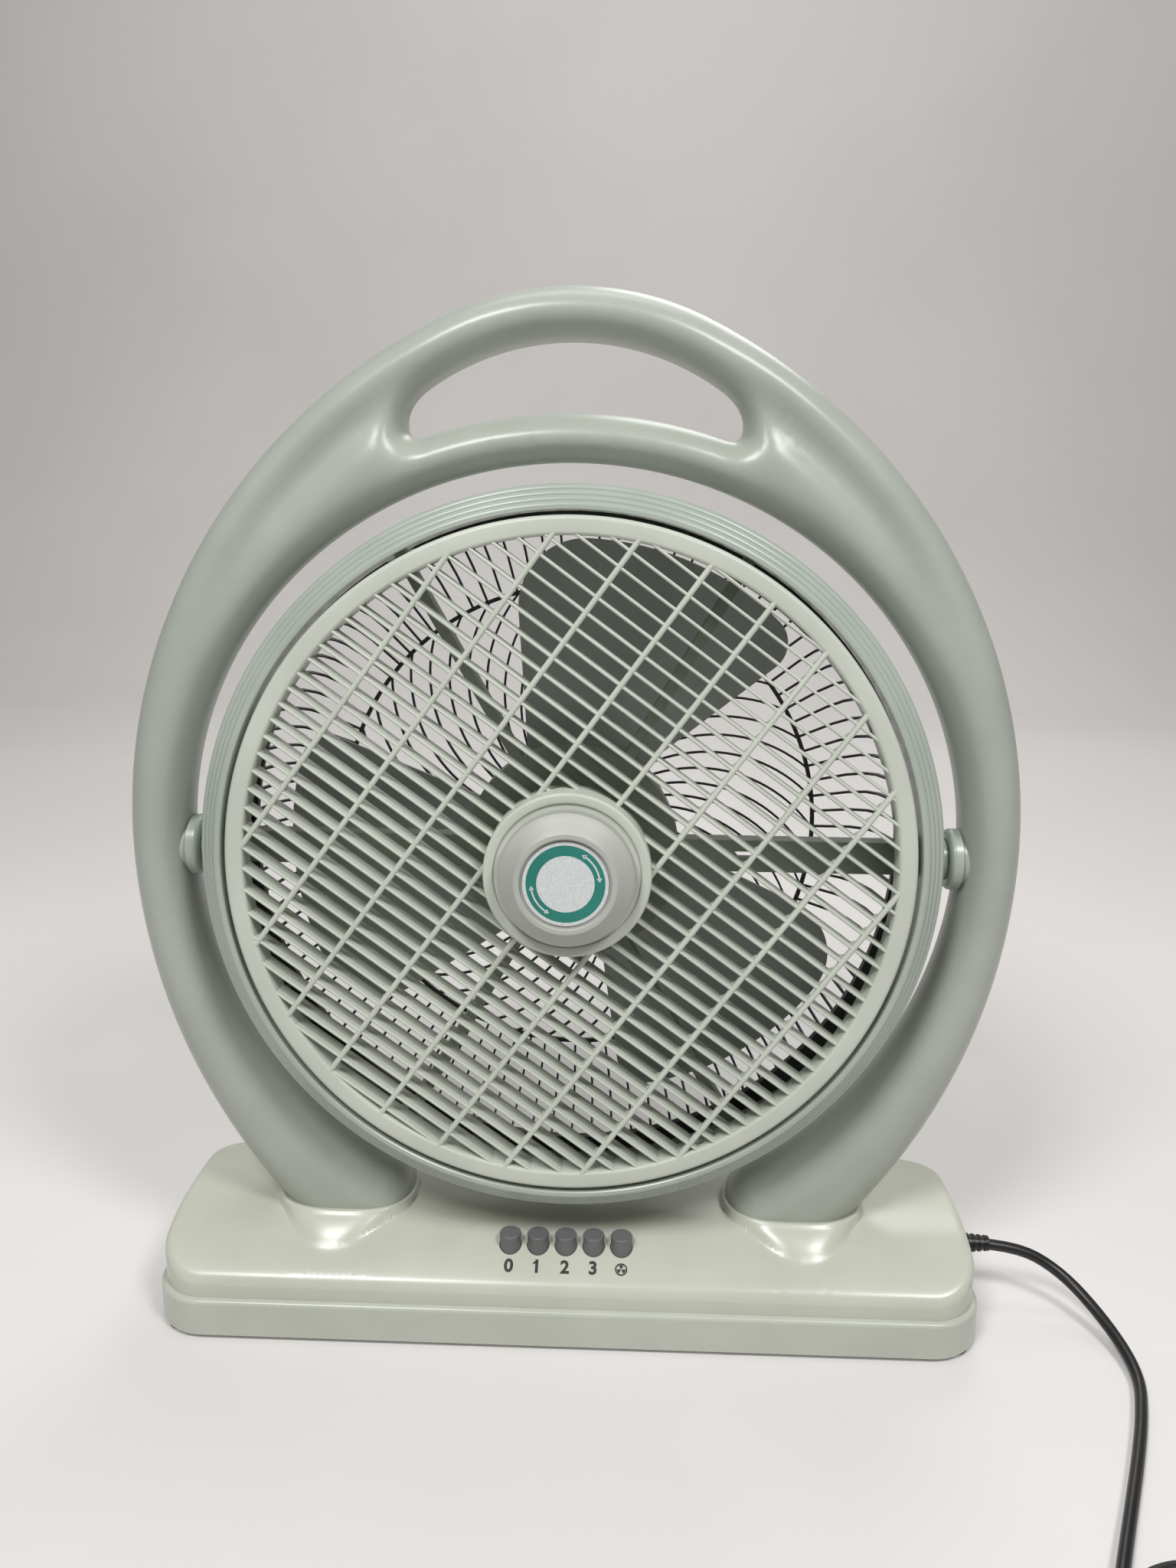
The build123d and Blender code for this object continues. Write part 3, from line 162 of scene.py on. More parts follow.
node_finish = {
    "arch_front": arch_plastic,
    "arch_rear": arch_plastic,
    "base_cover": cover_plastic,
    "base_tray": tray_plastic,
    "pivot_bush_left": ring_plastic,
    "pivot_bush_right": ring_plastic,
    "trunnion_left": ring_plastic,
    "trunnion_right": ring_plastic,
    "drum_ring": ring_plastic,
    "rear_guard": guard_plastic,
    "front_spider": spider_painted_shade,
    "louver_grille": louver_plastic,
    "louver_knob": knob_plastic,
    "knob_label": label_paper,
    "fan_blade": blade_plastic,
    "blade_nut": blade_plastic,
    "rubber_feet": dark_rubber,
    "strain_relief": lead_vinyl,
    "plug_body": lead_vinyl,
    "cord_tie": lead_vinyl,
    "plug_prongs": prong_brass,
    "stator_windings": winding_copper,
    "switch_block": dark_rubber,
    "run_capacitor": label_paper,
}
for name, node in nodes.items():
    chosen = node_finish.get(name, motor_steel)
    if name.startswith("button"):
        chosen = button_plastic
    if name.endswith("screws"):
        chosen = screw_steel
    for slot in node.material_slots:
        slot.material = chosen

# Mains lead: the CAD route, then the wound spare length, as one curve
LEAD_DIAMETER = 6.5
COIL_LOW = 4.85
COIL_HIGH = 11.95
COIL_APPROACH = 30.0
COIL_TAIL = 42.0
PLUG_BITE = 2.0
COIL_RADIUS = 47.15
COIL_STEP = 3.55
COIL_STEPS = 5
COIL_LAST_RADIUS = 24.3
TURN_POINTS = 18
LEAD_HEADING = math.radians(243)
coil_radii = [COIL_RADIUS - COIL_STEP * k for k in range(COIL_STEPS + 1)] + [COIL_LAST_RADIUS]
heading = Vector((math.cos(LEAD_HEADING), math.sin(LEAD_HEADING), 0))
outward = Vector((heading.y, -heading.x, 0))
lead_route = [
    Vector((235.0, -6.0, 36.0)),
    Vector((266.0, -6.0, 36.0)),
    Vector((294.0, -12.0, 23.0)),
    Vector((312.5, -40.0, 9.5)),
    Vector((318.0, -73.0, 3.4)),
    Vector((306.5, -104.0, 3.4)),
    Vector((292.0, -134.0, 3.4)),
    Vector((277.5, -162.0, 3.4)),
    Vector((263.0, -190.0, COIL_LOW)),
]
coil_entry = lead_route[-1] + heading * (COIL_APPROACH + LEAD_DIAMETER)
coil_centre = coil_entry - outward * COIL_RADIUS
knot_radii = coil_radii + coil_radii[::-1]
half_points = TURN_POINTS // 2
control_lift = 1 / math.cos(math.pi / TURN_POINTS)
for k in range(len(knot_radii) - 1):
    swing = outward if k % 2 == 0 else -outward
    way = heading if k % 2 == 0 else -heading
    radius = (knot_radii[k] + knot_radii[k + 1]) / 2
    middle = coil_centre + swing * (knot_radii[k] - radius)
    start_z = COIL_LOW if k < len(coil_radii) else COIL_HIGH
    end_z = COIL_LOW if k + 1 < len(coil_radii) else COIL_HIGH
    for step in range(half_points):
        share = (step + 0.5) / half_points
        turn = math.pi * share
        point = middle + (swing * math.cos(turn) + way * math.sin(turn)) * radius * control_lift
        point.z = start_z + (end_z - start_z) * share
        lead_route.append(point)
coil_exit = coil_centre - outward * knot_radii[-1]
coil_exit.z = COIL_HIGH
lead_route.append(coil_exit - heading * (COIL_TAIL / 2))
lead_route.append(coil_exit - heading * (COIL_TAIL + PLUG_BITE))


def lead_curve():
    """The lead as one round curve whose control points are the route."""
    data = bpy.data.curves.new("power_lead", "CURVE")
    data.dimensions = "3D"
    data.bevel_depth = LEAD_DIAMETER / 2 * MM
    data.bevel_resolution = 6
    data.use_fill_caps = True
    data.resolution_u = 6
    spline = data.splines.new("NURBS")
    spline.points.add(len(lead_route) - 1)
    for knot, point in zip(spline.points, lead_route):
        knot.co = (*(stand_frame @ point), 1)
    spline.order_u = 3
    spline.use_endpoint_u = True
    lead = bpy.data.objects.new("power_lead", data)
    scene.collection.objects.link(lead)
    data.materials.append(lead_vinyl)
    return lead


lead = lead_curve()
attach(lead, "stand")
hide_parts("power_cord", "cord_coil")


# Small mesh makers, in the millimetres of the part's own drawing
MERGE_GAP = 0.001
QUARTERS = ((1, 1), (-1, 1), (-1, -1), (1, -1))


def add_bar(shape, section, x0, x1):
    """A straight bar along X whose cross-section is a list of (y, z) points."""
    near = [shape.verts.new((x0, y, z)) for y, z in section]
    far = [shape.verts.new((x1, y, z)) for y, z in section]
    for k in range(len(section)):
        shape.faces.new((near[k - 1], near[k], far[k], far[k - 1]))
    shape.faces.new(near)
    shape.faces.new(far)


def add_lathe(shape, outline, steps=256, teeth=None):
    """A closed outline of (radius, y) points turned about Y.

    Teeth are given as (least radius, least y, depth): beyond both, every second step is cut in.
    """
    rings = []
    for step in range(steps):
        turn = 2 * math.pi * step / steps
        ring = []
        for radius, y in outline:
            if teeth and step % 2 and radius > teeth[0] and y > teeth[1]:
                radius -= teeth[2]
            ring.append(shape.verts.new((radius * math.sin(turn), y, radius * math.cos(turn))))
        rings.append(ring)
    for step in range(steps):
        for k in range(len(outline)):
            near, far = rings[step - 1], rings[step]
            shape.faces.new((near[k - 1], near[k], far[k], far[k - 1]))


def hoop(inner, outer, front, back):
    """The outline of a ring with square edges, for add_lathe."""
    return [(inner, front), (outer, front), (outer, back), (inner, back)]


def arc(centre, radius, start, end, points=6):
    """Points on a circle, with angles in degrees from the first axis towards the second."""
    turns = [math.radians(start + (end - start) * k / (points - 1)) for k in range(points)]
    return [(centre[0] + radius * math.cos(t), centre[1] + radius * math.sin(t)) for t in turns]


def circle(centre, radius, points):
    """A closed round loop, its first point on the first axis."""
    return arc(centre, radius, 0, 360 - 360 / points, points)


def piece(name, shape, place, material, body, sharp=40):
    """Turn a finished mesh into a shown piece that rides on a body."""
    bmesh.ops.remove_doubles(shape, verts=shape.verts, dist=MERGE_GAP)
    bmesh.ops.recalc_face_normals(shape, faces=shape.faces)
    mesh = bpy.data.meshes.new(name)
    shape.to_mesh(mesh)
    shape.free()
    mesh.transform(place)
    mesh.shade_smooth()
    mesh.set_sharp_from_angle(angle=math.radians(sharp))
    mesh.materials.append(material)
    made = bpy.data.objects.new(name, mesh)
    scene.collection.objects.link(made)
    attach(made, body)
    return made


# Moulded shells: a flat net of triangles between closed loops, raised by a height at each point
SHELL_SHARP = 75
BATCH_POINTS = 1000
GUIDE_ROW = 0.5
CELL_SHARE = 0.45
CELL_LEAST = 0.3
CELL_MOST = 2.6
ROW_KEPT = 0.93
NET_MERGE = 1e-5


def reach(points, line):
    """Distance from each point to a polyline."""
    start = np.asarray(line[:-1])
    way = np.asarray(line[1:]) - start
    lengths = (way ** 2).sum(1)
    least = []
    for batch in np.array_split(points, max(1, len(points) // BATCH_POINTS)):
        gap = batch[:, None, :] - start
        share = np.clip((gap * way).sum(2) / lengths, 0, 1)
        least.append(np.sqrt(((gap - share[..., None] * way) ** 2).sum(2)).min(1))
    return np.concatenate(least)


def within(points, loops):
    """True for points inside the area that the closed loops bound."""
    inside = np.zeros(len(points), bool)
    for loop in loops:
        for (x0, y0), (x1, y1) in zip(loop, loop[1:] + loop[:1]):
            if y0 != y1:
                crossed = (y0 > points[:, 1]) != (y1 > points[:, 1])
                edge_x = x0 + (points[:, 1] - y0) * (x1 - x0) / (y1 - y0)
                inside ^= crossed & (points[:, 0] < edge_x)
    return inside


def net(loops, rows, guides=()):
    """Triangles inside the loops, on guide points and on rows of points that follow the loops.

    Gives the points, the triangles and, for each loop, the numbers of its points.
    """
    closed = [loop + loop[:1] for loop in loops]
    fixed = [point for loop in loops for point in loop]
    links = []
    for loop in loops:
        first = len(links)
        links += [(first + k, first + (k + 1) % len(loop)) for k in range(len(loop))]
    trials = [(GUIDE_ROW, np.asarray(guides))] if len(guides) else []
    for row in rows:
        for loop in loops:
            at = np.asarray(loop)
            way = np.roll(at, -1, 0) - np.roll(at, 1, 0)
            side = np.stack((-way[:, 1], way[:, 0]), 1) / np.hypot(way[:, 0], way[:, 1])[:, None]
            trials += [(row, at + side * row), (row, at - side * row)]
    taken = set()
    free = []
    for row, trial in trials:
        trial = trial[within(trial, loops)]
        if len(trial) == 0:
            continue
        clear = np.min([reach(trial, line) for line in closed], 0)
        cell = min(CELL_MOST, max(CELL_LEAST, CELL_SHARE * row))
        for point in trial[clear > ROW_KEPT * row]:
            spot = (round(point[0] / cell), round(point[1] / cell), cell)
            if spot not in taken:
                taken.add(spot)
                free.append(tuple(point))
    flat = [Vector(point) for point in fixed + free]
    points, _, faces, origins, _, _ = delaunay_2d_cdt(flat, links, [], 0, NET_MERGE)
    points = np.array([tuple(point) for point in points])
    number = {old: new for new, olds in enumerate(origins) for old in olds}
    middles = points[np.array(faces)].mean(1)
    kept = [face for face, good in zip(faces, within(middles, loops)) if good]
    rims = []
    first = 0
    for loop in loops:
        rims.append([number[first + k] for k in range(len(loop))])
        first += len(loop)
    return points, kept, rims


def bridge(shape, first, second):
    """Faces between two closed rings with as many points each."""
    for k in range(len(first)):
        shape.faces.new((first[k - 1], first[k], second[k], second[k - 1]))


def bend(start, corner, end, points=7):
    """A curve from start to end that leans on a corner."""
    curve = []
    for k in range(points):
        t = k / (points - 1)
        a, b, c = (1 - t) ** 2, 2 * t * (1 - t), t * t
        curve.append(tuple(a * s + b * m + c * e for s, m, e in zip(start, corner, end)))
    return curve


def mirrored(line):
    """The same line on the other side, run the other way."""
    return [(-x, z) for x, z in reversed(line)]


# Arch: an oval tube all round, split in two by the handle opening, with a valley that fades below it
ARCH_HALF = 245.5
ARCH_DEPTH = 26.0
ARCH_SIDE_R = 309.0
ARCH_LEG_R = 347.0
ARCH_CREST_R = 158.0
ARCH_CREST_Z = 412.0
ARCH_LEAN = 24.87
ARCH_FOOT_Z = 44.0
WINDOW_HALF = 214.0
WINDOW_RISE = 210.0
WINDOW_DROP = 226.0
TOE_X = 94.0
TOE_STEPS = (52.0, 57.0)
TOE_BEND_Z = 61.0
TOE_CORNER_Z = 69.0
TOE_REACH = 10.0
HANDLE_HALF = 86.0
HANDLE_TOP_R = 131.8
HANDLE_LOW_R = 240.2
HANDLE_LOW_Z = 269.4
HANDLE_TOP_BEND = 10.0
HANDLE_LOW_BEND = 11.0
HANDLE_END_STEP = 1.0
LEG_POINTS = 110
SIDE_POINTS = 150
CREST_POINTS = 32
WINDOW_POINTS = 240
HANDLE_POINTS = 30
HANDLE_BEND_POINTS = 10
FOOT_POINTS = 24
SWELL_BLEND = 3.0
SWELL_REACH = 22.0
SWELL_POWER = 2.2
LEAST_GAP = 1e-4
VALLEY_PLACE = 25.0
VALLEY_WIDTH = 10.0
VALLEY_DEPTH = 7.0
VALLEY_FADE = (375.0, 480.0)
VALLEY_SIDE = (68.0, 108.0)
ARCH_SCREWS = [(198.1, 150.0), (204.7, 380.0), (113.0, 491.0)]
SINK_RADIUS = 3.8
SINK_FLOOR = 20.5
SINK_POINTS = 24
ARCH_ROWS = [0.25, 0.7, 1.4, 2.4, 3.6, 5.0, 6.6, 8.4, 10.4, 12.8, 15.5, 18.5, 22.0, 26.0, 30.0, 34.0]
SEAM_HALF = 0.3
SLOPE_STEP = 0.05
EDGE_KEPT = 0.6


def handle_top(x):
    """Height of the handle opening's upper edge."""
    return ARCH_CREST_Z + math.sqrt(HANDLE_TOP_R ** 2 - x ** 2)


def handle_low(x):
    """Height of the handle opening's lower edge."""
    return HANDLE_LOW_Z + math.sqrt(HANDLE_LOW_R ** 2 - x ** 2)


# Outer edge: a leg, a side and the crest, each an arc
foot_turn = math.degrees(math.asin((PIVOT_Z - ARCH_FOOT_Z) / ARCH_LEG_R))
outer_side = arc((ARCH_HALF - ARCH_LEG_R, PIVOT_Z), ARCH_LEG_R, -foot_turn, 0, LEG_POINTS)[:-1]
outer_side += arc((ARCH_HALF - ARCH_SIDE_R, PIVOT_Z), ARCH_SIDE_R, 0, 90 - ARCH_LEAN, SIDE_POINTS)[:-1]
outer_side += arc((0, ARCH_CREST_Z), ARCH_CREST_R, 90 - ARCH_LEAN, 90, CREST_POINTS)
outer_line = outer_side + mirrored(outer_side)[1:]

# Window edge: up the leg's toe, then two half ovals that meet at the pivot's height
toe_start = TOE_X + TOE_REACH
toe_turn = math.degrees(math.asin(toe_start / WINDOW_HALF))
window_side = [(TOE_X, z) for z in (ARCH_FOOT_Z, *TOE_STEPS)]
toe_meet = (toe_start, PIVOT_Z - WINDOW_DROP * math.cos(math.radians(toe_turn)))
window_side += bend((TOE_X, TOE_BEND_Z), (TOE_X, TOE_CORNER_Z), toe_meet)
for k in range(1, WINDOW_POINTS):
    turn = math.radians(toe_turn + (180 - toe_turn) * k / (WINDOW_POINTS - 1))
    height = WINDOW_DROP if turn < math.pi / 2 else WINDOW_RISE
    window_side.append((WINDOW_HALF * math.sin(turn), PIVOT_Z - height * math.cos(turn)))
window_line = window_side + mirrored(window_side)[1:]

# Handle opening: two arcs joined by rounded ends
top_bend_x = HANDLE_HALF - HANDLE_TOP_BEND
low_bend_x = HANDLE_HALF - HANDLE_LOW_BEND
end_z = (handle_top(HANDLE_HALF) + handle_low(HANDLE_HALF)) / 2
handle_side = [(x, handle_top(x)) for x in np.linspace(0, top_bend_x, HANDLE_POINTS)]
top_corner = (HANDLE_HALF, handle_top(HANDLE_HALF))
top_end = (HANDLE_HALF, end_z + HANDLE_END_STEP)
handle_side += bend(handle_side[-1], top_corner, top_end, HANDLE_BEND_POINTS)[1:]
low_corner = (HANDLE_HALF, handle_low(HANDLE_HALF))
low_end = (low_bend_x, handle_low(low_bend_x))
handle_side += bend((HANDLE_HALF, end_z), low_corner, low_end, HANDLE_BEND_POINTS)
handle_side += [(x, handle_low(x)) for x in np.linspace(low_bend_x, 0, HANDLE_POINTS)[1:]]
handle_loop = handle_side + mirrored(handle_side)[1:-1]

# The whole outline, closed by the flat feet
foot_xs = np.linspace(TOE_X, outer_side[0][0], FOOT_POINTS)[1:-1]
foot_line = [(x, ARCH_FOOT_Z) for x in foot_xs]
arch_loop = foot_line + outer_line + mirrored(foot_line) + window_line[::-1]
arch_edges = (outer_line, window_line, handle_loop + handle_loop[:1])


def rise(values, span):
    """A smooth step from nought to one over a span."""
    share = np.clip((values - span[0]) / (span[1] - span[0]), 0, 1)
    return share * share * (3 - 2 * share)


def arch_depth(points):
    """Half depth of the tube: a swell away from all edges, less the valley beside the handle."""
    gaps = np.maximum([reach(points, line) for line in arch_edges], LEAST_GAP)
    inward = (gaps ** -SWELL_BLEND).sum(0) ** (-1 / SWELL_BLEND)
    shallow = 1 - np.clip(inward / SWELL_REACH, 0, 1)
    depth = ARCH_DEPTH * (1 - shallow ** SWELL_POWER) ** (1 / SWELL_POWER)
    fade = rise(points[:, 1], VALLEY_FADE) * rise(np.abs(points[:, 0]), VALLEY_SIDE)
    fade = fade * (1 - np.exp(-((gaps[2] / VALLEY_WIDTH) ** 2)))
    return depth - VALLEY_DEPTH * fade * np.exp(-((gaps[0] - VALLEY_PLACE) / VALLEY_WIDTH) ** 2)


# Two faces on one outline, joined at the seam, with sunk screw holes in the rear one
shape = bmesh.new()
seam_loops = []
for face_way in (-1, 1):
    sinks = []
    if face_way > 0:
        for side in (-1, 1):
            sinks += [circle((side * x, z), SINK_RADIUS, SINK_POINTS) for x, z in ARCH_SCREWS]
    points, faces, rims = net([arch_loop, handle_loop] + sinks, ARCH_ROWS)
    depth = arch_depth(points)
    verts = [shape.verts.new((x, face_way * max(d, SEAM_HALF), z)) for (x, z), d in zip(points, depth)]
    for face in faces:
        shape.faces.new([verts[k] for k in face])
    seam_loops.append([[verts[k] for k in rim] for rim in rims[:2]])
    for rim in rims[2:]:
        floor_ring = [shape.verts.new((verts[k].co.x, SINK_FLOOR, verts[k].co.z)) for k in rim]
        bridge(shape, [verts[k] for k in rim], floor_ring)
        shape.faces.new(floor_ring)
for front, rear in zip(*seam_loops):
    bridge(shape, front, rear)
arch = piece("arch_shell", shape, stand_frame, arch_plastic, "stand", sharp=SHELL_SHARP)
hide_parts("arch_front", "arch_rear")


def smooth_arch(mesh):
    """Shade the arch by the slope of its swell, so that its facets show only at the edges."""
    places = np.array([tuple(vert.co) for vert in mesh.vertices]) / MM
    places[:, 1] -= SHIFT_Y
    spots = places[:, [0, 2]]
    depth = arch_depth(spots)
    slope_x = (arch_depth(spots + (SLOPE_STEP, 0)) - depth) / SLOPE_STEP
    slope_z = (arch_depth(spots + (0, SLOPE_STEP)) - depth) / SLOPE_STEP
    normals = np.stack((-slope_x, np.sign(places[:, 1]), -slope_z), 1)
    normals /= np.linalg.norm(normals, axis=1)[:, None]
    edge = np.min([reach(spots, line) for line in arch_edges], 0) < EDGE_KEPT
    sunk = np.abs(np.abs(places[:, 1]) - depth) > SLOPE_STEP
    foot = spots[:, 1] < ARCH_FOOT_Z + EDGE_KEPT
    normals[edge | sunk | foot] = 0
    mesh.normals_split_custom_set_from_vertices([tuple(normal) for normal in normals])


smooth_arch(arch.data)

# Raised round boss on the arch behind each pivot disc
BOSS_FACE = 213.3
BOSS_ROOT = 222.0
BOSS_FACE_RADIUS = 14.0
BOSS_RADIUS = 15.0
BOSS_BEVEL = (0.4, 0.5)
boss_outline = [
    (0.0, BOSS_FACE),
    (BOSS_FACE_RADIUS, BOSS_FACE),
    (BOSS_FACE_RADIUS + BOSS_BEVEL[0], BOSS_FACE + BOSS_BEVEL[1]),
    (BOSS_RADIUS, BOSS_ROOT),
    (0.0, BOSS_ROOT),
]
shape = bmesh.new()
add_lathe(shape, boss_outline, steps=96)
for side, name in ((-1, "left"), (1, "right")):
    turned = Matrix.Translation((0, 0, PIVOT_Z)) @ Matrix.Rotation(math.radians(-90 * side), 4, "Z")
    piece("pivot_boss_" + name, shape.copy(), stand_frame @ turned, arch_plastic, "stand")
shape.free()

# Base cover: a crowned top with rounded edges, a bowl under each leg and holes for the buttons
COVER_HALF_X = 233.5
COVER_HALF_Y = 62.5
COVER_CORNER = 26.5
COVER_CROWN = 56.0
COVER_FRONT_DROP = 20.0
COVER_FRONT_POWER = 2.4
COVER_REAR_DROP = 6.0
COVER_EDGE = 4.0
COVER_FOOT = 25.0
COVER_CORNER_POINTS = 16
COVER_STEP = 4.0
COVER_ROWS = [0.1, 0.3, 0.7, 1.3, 2.1, 3.1, 4.3, 6.0]
GRID_HALF = (228.0, 54.0)
GRID_STEP = (6.0, 3.0)
BUTTON_XS = [-32.0, -16.0, 0.0, 16.0, 32.0]
BUTTON_Y = -39.0
BUTTON_HOLE = 6.5
HOLE_POINTS = 48
BOWL_X = 133.4
BOWL_TOP = 60.0
BOWL_ROOT = 41.0
BOWL_LIP = (41.5, 30.0)
BOWL_ROOT_HALF = (33.0, 47.0)
BOWL_LEAN = 5.0
BOWL_LIP_POWER = 2.6
BOWL_ROOT_POWER = 2.2
BOWL_FLARE = (3, 1.8)
BOWL_BLEND = 2.0
LIP_BEAD = 1.3
LIP_WIDTH = 1.2
BOWL_LEVELS = 120
BOWL_POINTS = 144
LIP_ROWS = [-4.0, -2.6, -1.6, -0.9, -0.4, -0.1, 0.15, 0.5, 1.0, 1.7, 2.6, 3.7]
BOWL_ROWS = LIP_ROWS + [5.0, 6.5, 8.2, 10.0, 12.0, 14.2, 16.6, 19.2, 22.0, 25.0, 28.5]
BOWL_ROW_END = 32.0
BOWL_ROW_NARROW = 0.45
LEAST_DROP = 1e-9


def cover_height(y):
    """The crowned top's height at a depth, before its edges are rounded."""
    across = np.abs(y) / COVER_HALF_Y
    front = COVER_FRONT_DROP * across ** COVER_FRONT_POWER
    return COVER_CROWN - np.where(np.asarray(y) < 0, front, COVER_REAR_DROP * across ** 2)


def oval(half_x, half_y, turn):
    """A point on a slightly squared oval, like the bowl's lip."""
    across = math.cos(turn)
    along = math.sin(turn)
    x = math.copysign(half_x * abs(across) ** (2 / BOWL_LIP_POWER), across)
    y = math.copysign(half_y * abs(along) ** (2 / BOWL_LIP_POWER), along)
    return x, y


def bowl_height(points, side):
    """Height of the bowl round a leg: ovals that narrow and lengthen as they go down."""
    dx = points[:, 0] - side * BOWL_X
    dy = points[:, 1]
    height = np.zeros(len(points))
    above = None
    for level in np.linspace(1, 0, BOWL_LEVELS):
        half_x = BOWL_ROOT_HALF[0] + (BOWL_LIP[0] - BOWL_ROOT_HALF[0]) * level ** BOWL_FLARE[0]
        half_y = BOWL_ROOT_HALF[1] + (BOWL_LIP[1] - BOWL_ROOT_HALF[1]) * level ** BOWL_FLARE[1]
        lean = side * BOWL_LEAN * (1 - level)
        power = BOWL_ROOT_POWER + (BOWL_LIP_POWER - BOWL_ROOT_POWER) * level
        outside = np.abs((dx - lean) / half_x) ** power + np.abs(dy / half_y) ** power - 1
        if above is None:
            height = np.where(outside < 0, BOWL_TOP, height)
        else:
            met = (outside < 0) & (height == 0)
            part = np.clip(-outside / np.maximum(above - outside, LEAST_DROP), 0, 1) / (BOWL_LEVELS - 1)
            found = BOWL_ROOT + (BOWL_TOP - BOWL_ROOT) * np.minimum(level + part, 1)
            height = np.where(met, found, height)
        above = outside
    return height


def smooth_top(first, second, blend):
    """The higher of two surfaces, with the corner between them filled."""
    filled = np.maximum(blend - np.abs(first - second), 0) ** 2 / (4 * blend)
    return np.maximum(first, second) + filled


def cover_surface(points):
    """Height of the whole top: the crown with its edge rounded, the two bowls and a bead on each lip."""
    edge = np.clip(reach(points, cover_loop + cover_loop[:1]) / COVER_EDGE, 0, 1)
    top = cover_height(points[:, 1]) - COVER_EDGE * (1 - np.sqrt(1 - (1 - edge) ** 2))
    for side in (-1, 1):
        top = smooth_top(top, bowl_height(points, side), BOWL_BLEND)
        across = np.abs((points[:, 0] - side * BOWL_X) / BOWL_LIP[0]) ** BOWL_LIP_POWER
        lip = (across + np.abs(points[:, 1] / BOWL_LIP[1]) ** BOWL_LIP_POWER) ** (1 / BOWL_LIP_POWER)
        top = top + LIP_BEAD * np.exp(-(((lip - 1) * BOWL_LIP[1] + LIP_WIDTH) / LIP_WIDTH) ** 2)
    return top


# The cover's edge, in steps short enough for the net
corner_loop = []
for k, (sx, sy) in enumerate(QUARTERS):
    corner = (sx * (COVER_HALF_X - COVER_CORNER), sy * (COVER_HALF_Y - COVER_CORNER))
    corner_loop += arc(corner, COVER_CORNER, 90 * k, 90 * k + 90, COVER_CORNER_POINTS)
cover_loop = []
for (x0, y0), (x1, y1) in zip(corner_loop, corner_loop[1:] + corner_loop[:1]):
    parts = max(1, round(math.hypot(x1 - x0, y1 - y0) / COVER_STEP))
    cover_loop += [(x0 + (x1 - x0) * k / parts, y0 + (y1 - y0) * k / parts) for k in range(parts)]

# Points for the net: ovals round each bowl, and a grid over the rest
wells = [circle((x, BUTTON_Y), BUTTON_HOLE, HOLE_POINTS) for x in BUTTON_XS]
guides = []
for side in (-1, 1):
    for row, grow in enumerate(BOWL_ROWS):
        half_x = BOWL_LIP[0] + grow * (BOWL_ROW_NARROW if grow > 0 else 1.0)
        half_y = BOWL_LIP[1] + grow
        for k in range(BOWL_POINTS):
            turn = 2 * math.pi * (k + row % 2 / 2) / BOWL_POINTS
            x, y = oval(half_x, half_y, turn)
            guides.append((side * BOWL_X + x, y))
grid_x, grid_y = (
    np.arange(-half, half + step / 2, step) for half, step in zip(GRID_HALF, GRID_STEP)
)
for x in grid_x:
    for y in grid_y:
        far_x = (abs(x) - BOWL_X) / (BOWL_LIP[0] + BOWL_ROW_NARROW * BOWL_ROW_END)
        if math.hypot(far_x, y / (BOWL_LIP[1] + BOWL_ROW_END)) > 1:
            guides.append((x, y))

# Top, walls and underside
points, faces, rims = net([cover_loop] + wells, COVER_ROWS, guides)
height = cover_surface(points)
shape = bmesh.new()
verts = [shape.verts.new((x, y, z)) for (x, y), z in zip(points, height)]
for face in faces:
    shape.faces.new([verts[k] for k in face])
for rim in rims:
    top_ring = [verts[k] for k in rim]
    low_ring = [shape.verts.new((vert.co.x, vert.co.y, COVER_FOOT)) for vert in top_ring]
    bridge(shape, top_ring, low_ring)
points, faces, rims = net([cover_loop] + wells, [])
verts = [shape.verts.new((x, y, COVER_FOOT)) for x, y in points]
for face in faces:
    shape.faces.new([verts[k] for k in face])
cover = piece("cover_shell", shape, stand_frame, cover_plastic, "stand", sharp=SHELL_SHARP)
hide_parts("base_cover")

# Drum ring with its fine ridges
RING_RADIUS = 198.5
RING_SHOULDER = -30.0
BEZEL_LIP = 187.0
BEZEL_FRONT = -41.0
BEZEL_INNER = 185.4
BEZEL_LEDGE = -24.0
RING_FRONT_BORE = 195.0
RING_REAR_BORE = 193.5
RING_REAR_RADIUS = 196.5
RING_REAR = 20.0
RING_BEVEL = 0.5
RING_STEPS = 320
RIDGES = 4
RIDGE_RISE = 0.9
RIDGE_POWER = 0.5
RIDGE_SHARES = (0.0, 0.12, 0.3, 0.5, 0.7, 0.88)
shoulder = Vector((RING_RADIUS, RING_SHOULDER))
lip = Vector((BEZEL_LIP, BEZEL_FRONT))
ridge_run = []
for k in range(RIDGES):
    start = shoulder.lerp(lip, k / RIDGES)
    end = shoulder.lerp(lip, (k + 1) / RIDGES)
    across = Vector((start.y - end.y, end.x - start.x)).normalized()
    for share in RIDGE_SHARES:
        bulge = RIDGE_RISE * math.sin(math.pi * share) ** RIDGE_POWER
        ridge_run.append(tuple(start.lerp(end, share) + across * bulge))
ring_outline = ridge_run + [
    (BEZEL_LIP, BEZEL_FRONT),
    (BEZEL_INNER + RING_BEVEL, BEZEL_FRONT),
    (BEZEL_INNER, BEZEL_FRONT + RING_BEVEL),
    (BEZEL_INNER, BEZEL_LEDGE),
    (RING_FRONT_BORE, BEZEL_LEDGE),
    (RING_REAR_BORE, RING_REAR),
    (RING_REAR_RADIUS - RING_BEVEL, RING_REAR),
    (RING_REAR_RADIUS, RING_REAR - RING_BEVEL),
]
shape = bmesh.new()
add_lathe(shape, ring_outline, steps=RING_STEPS)
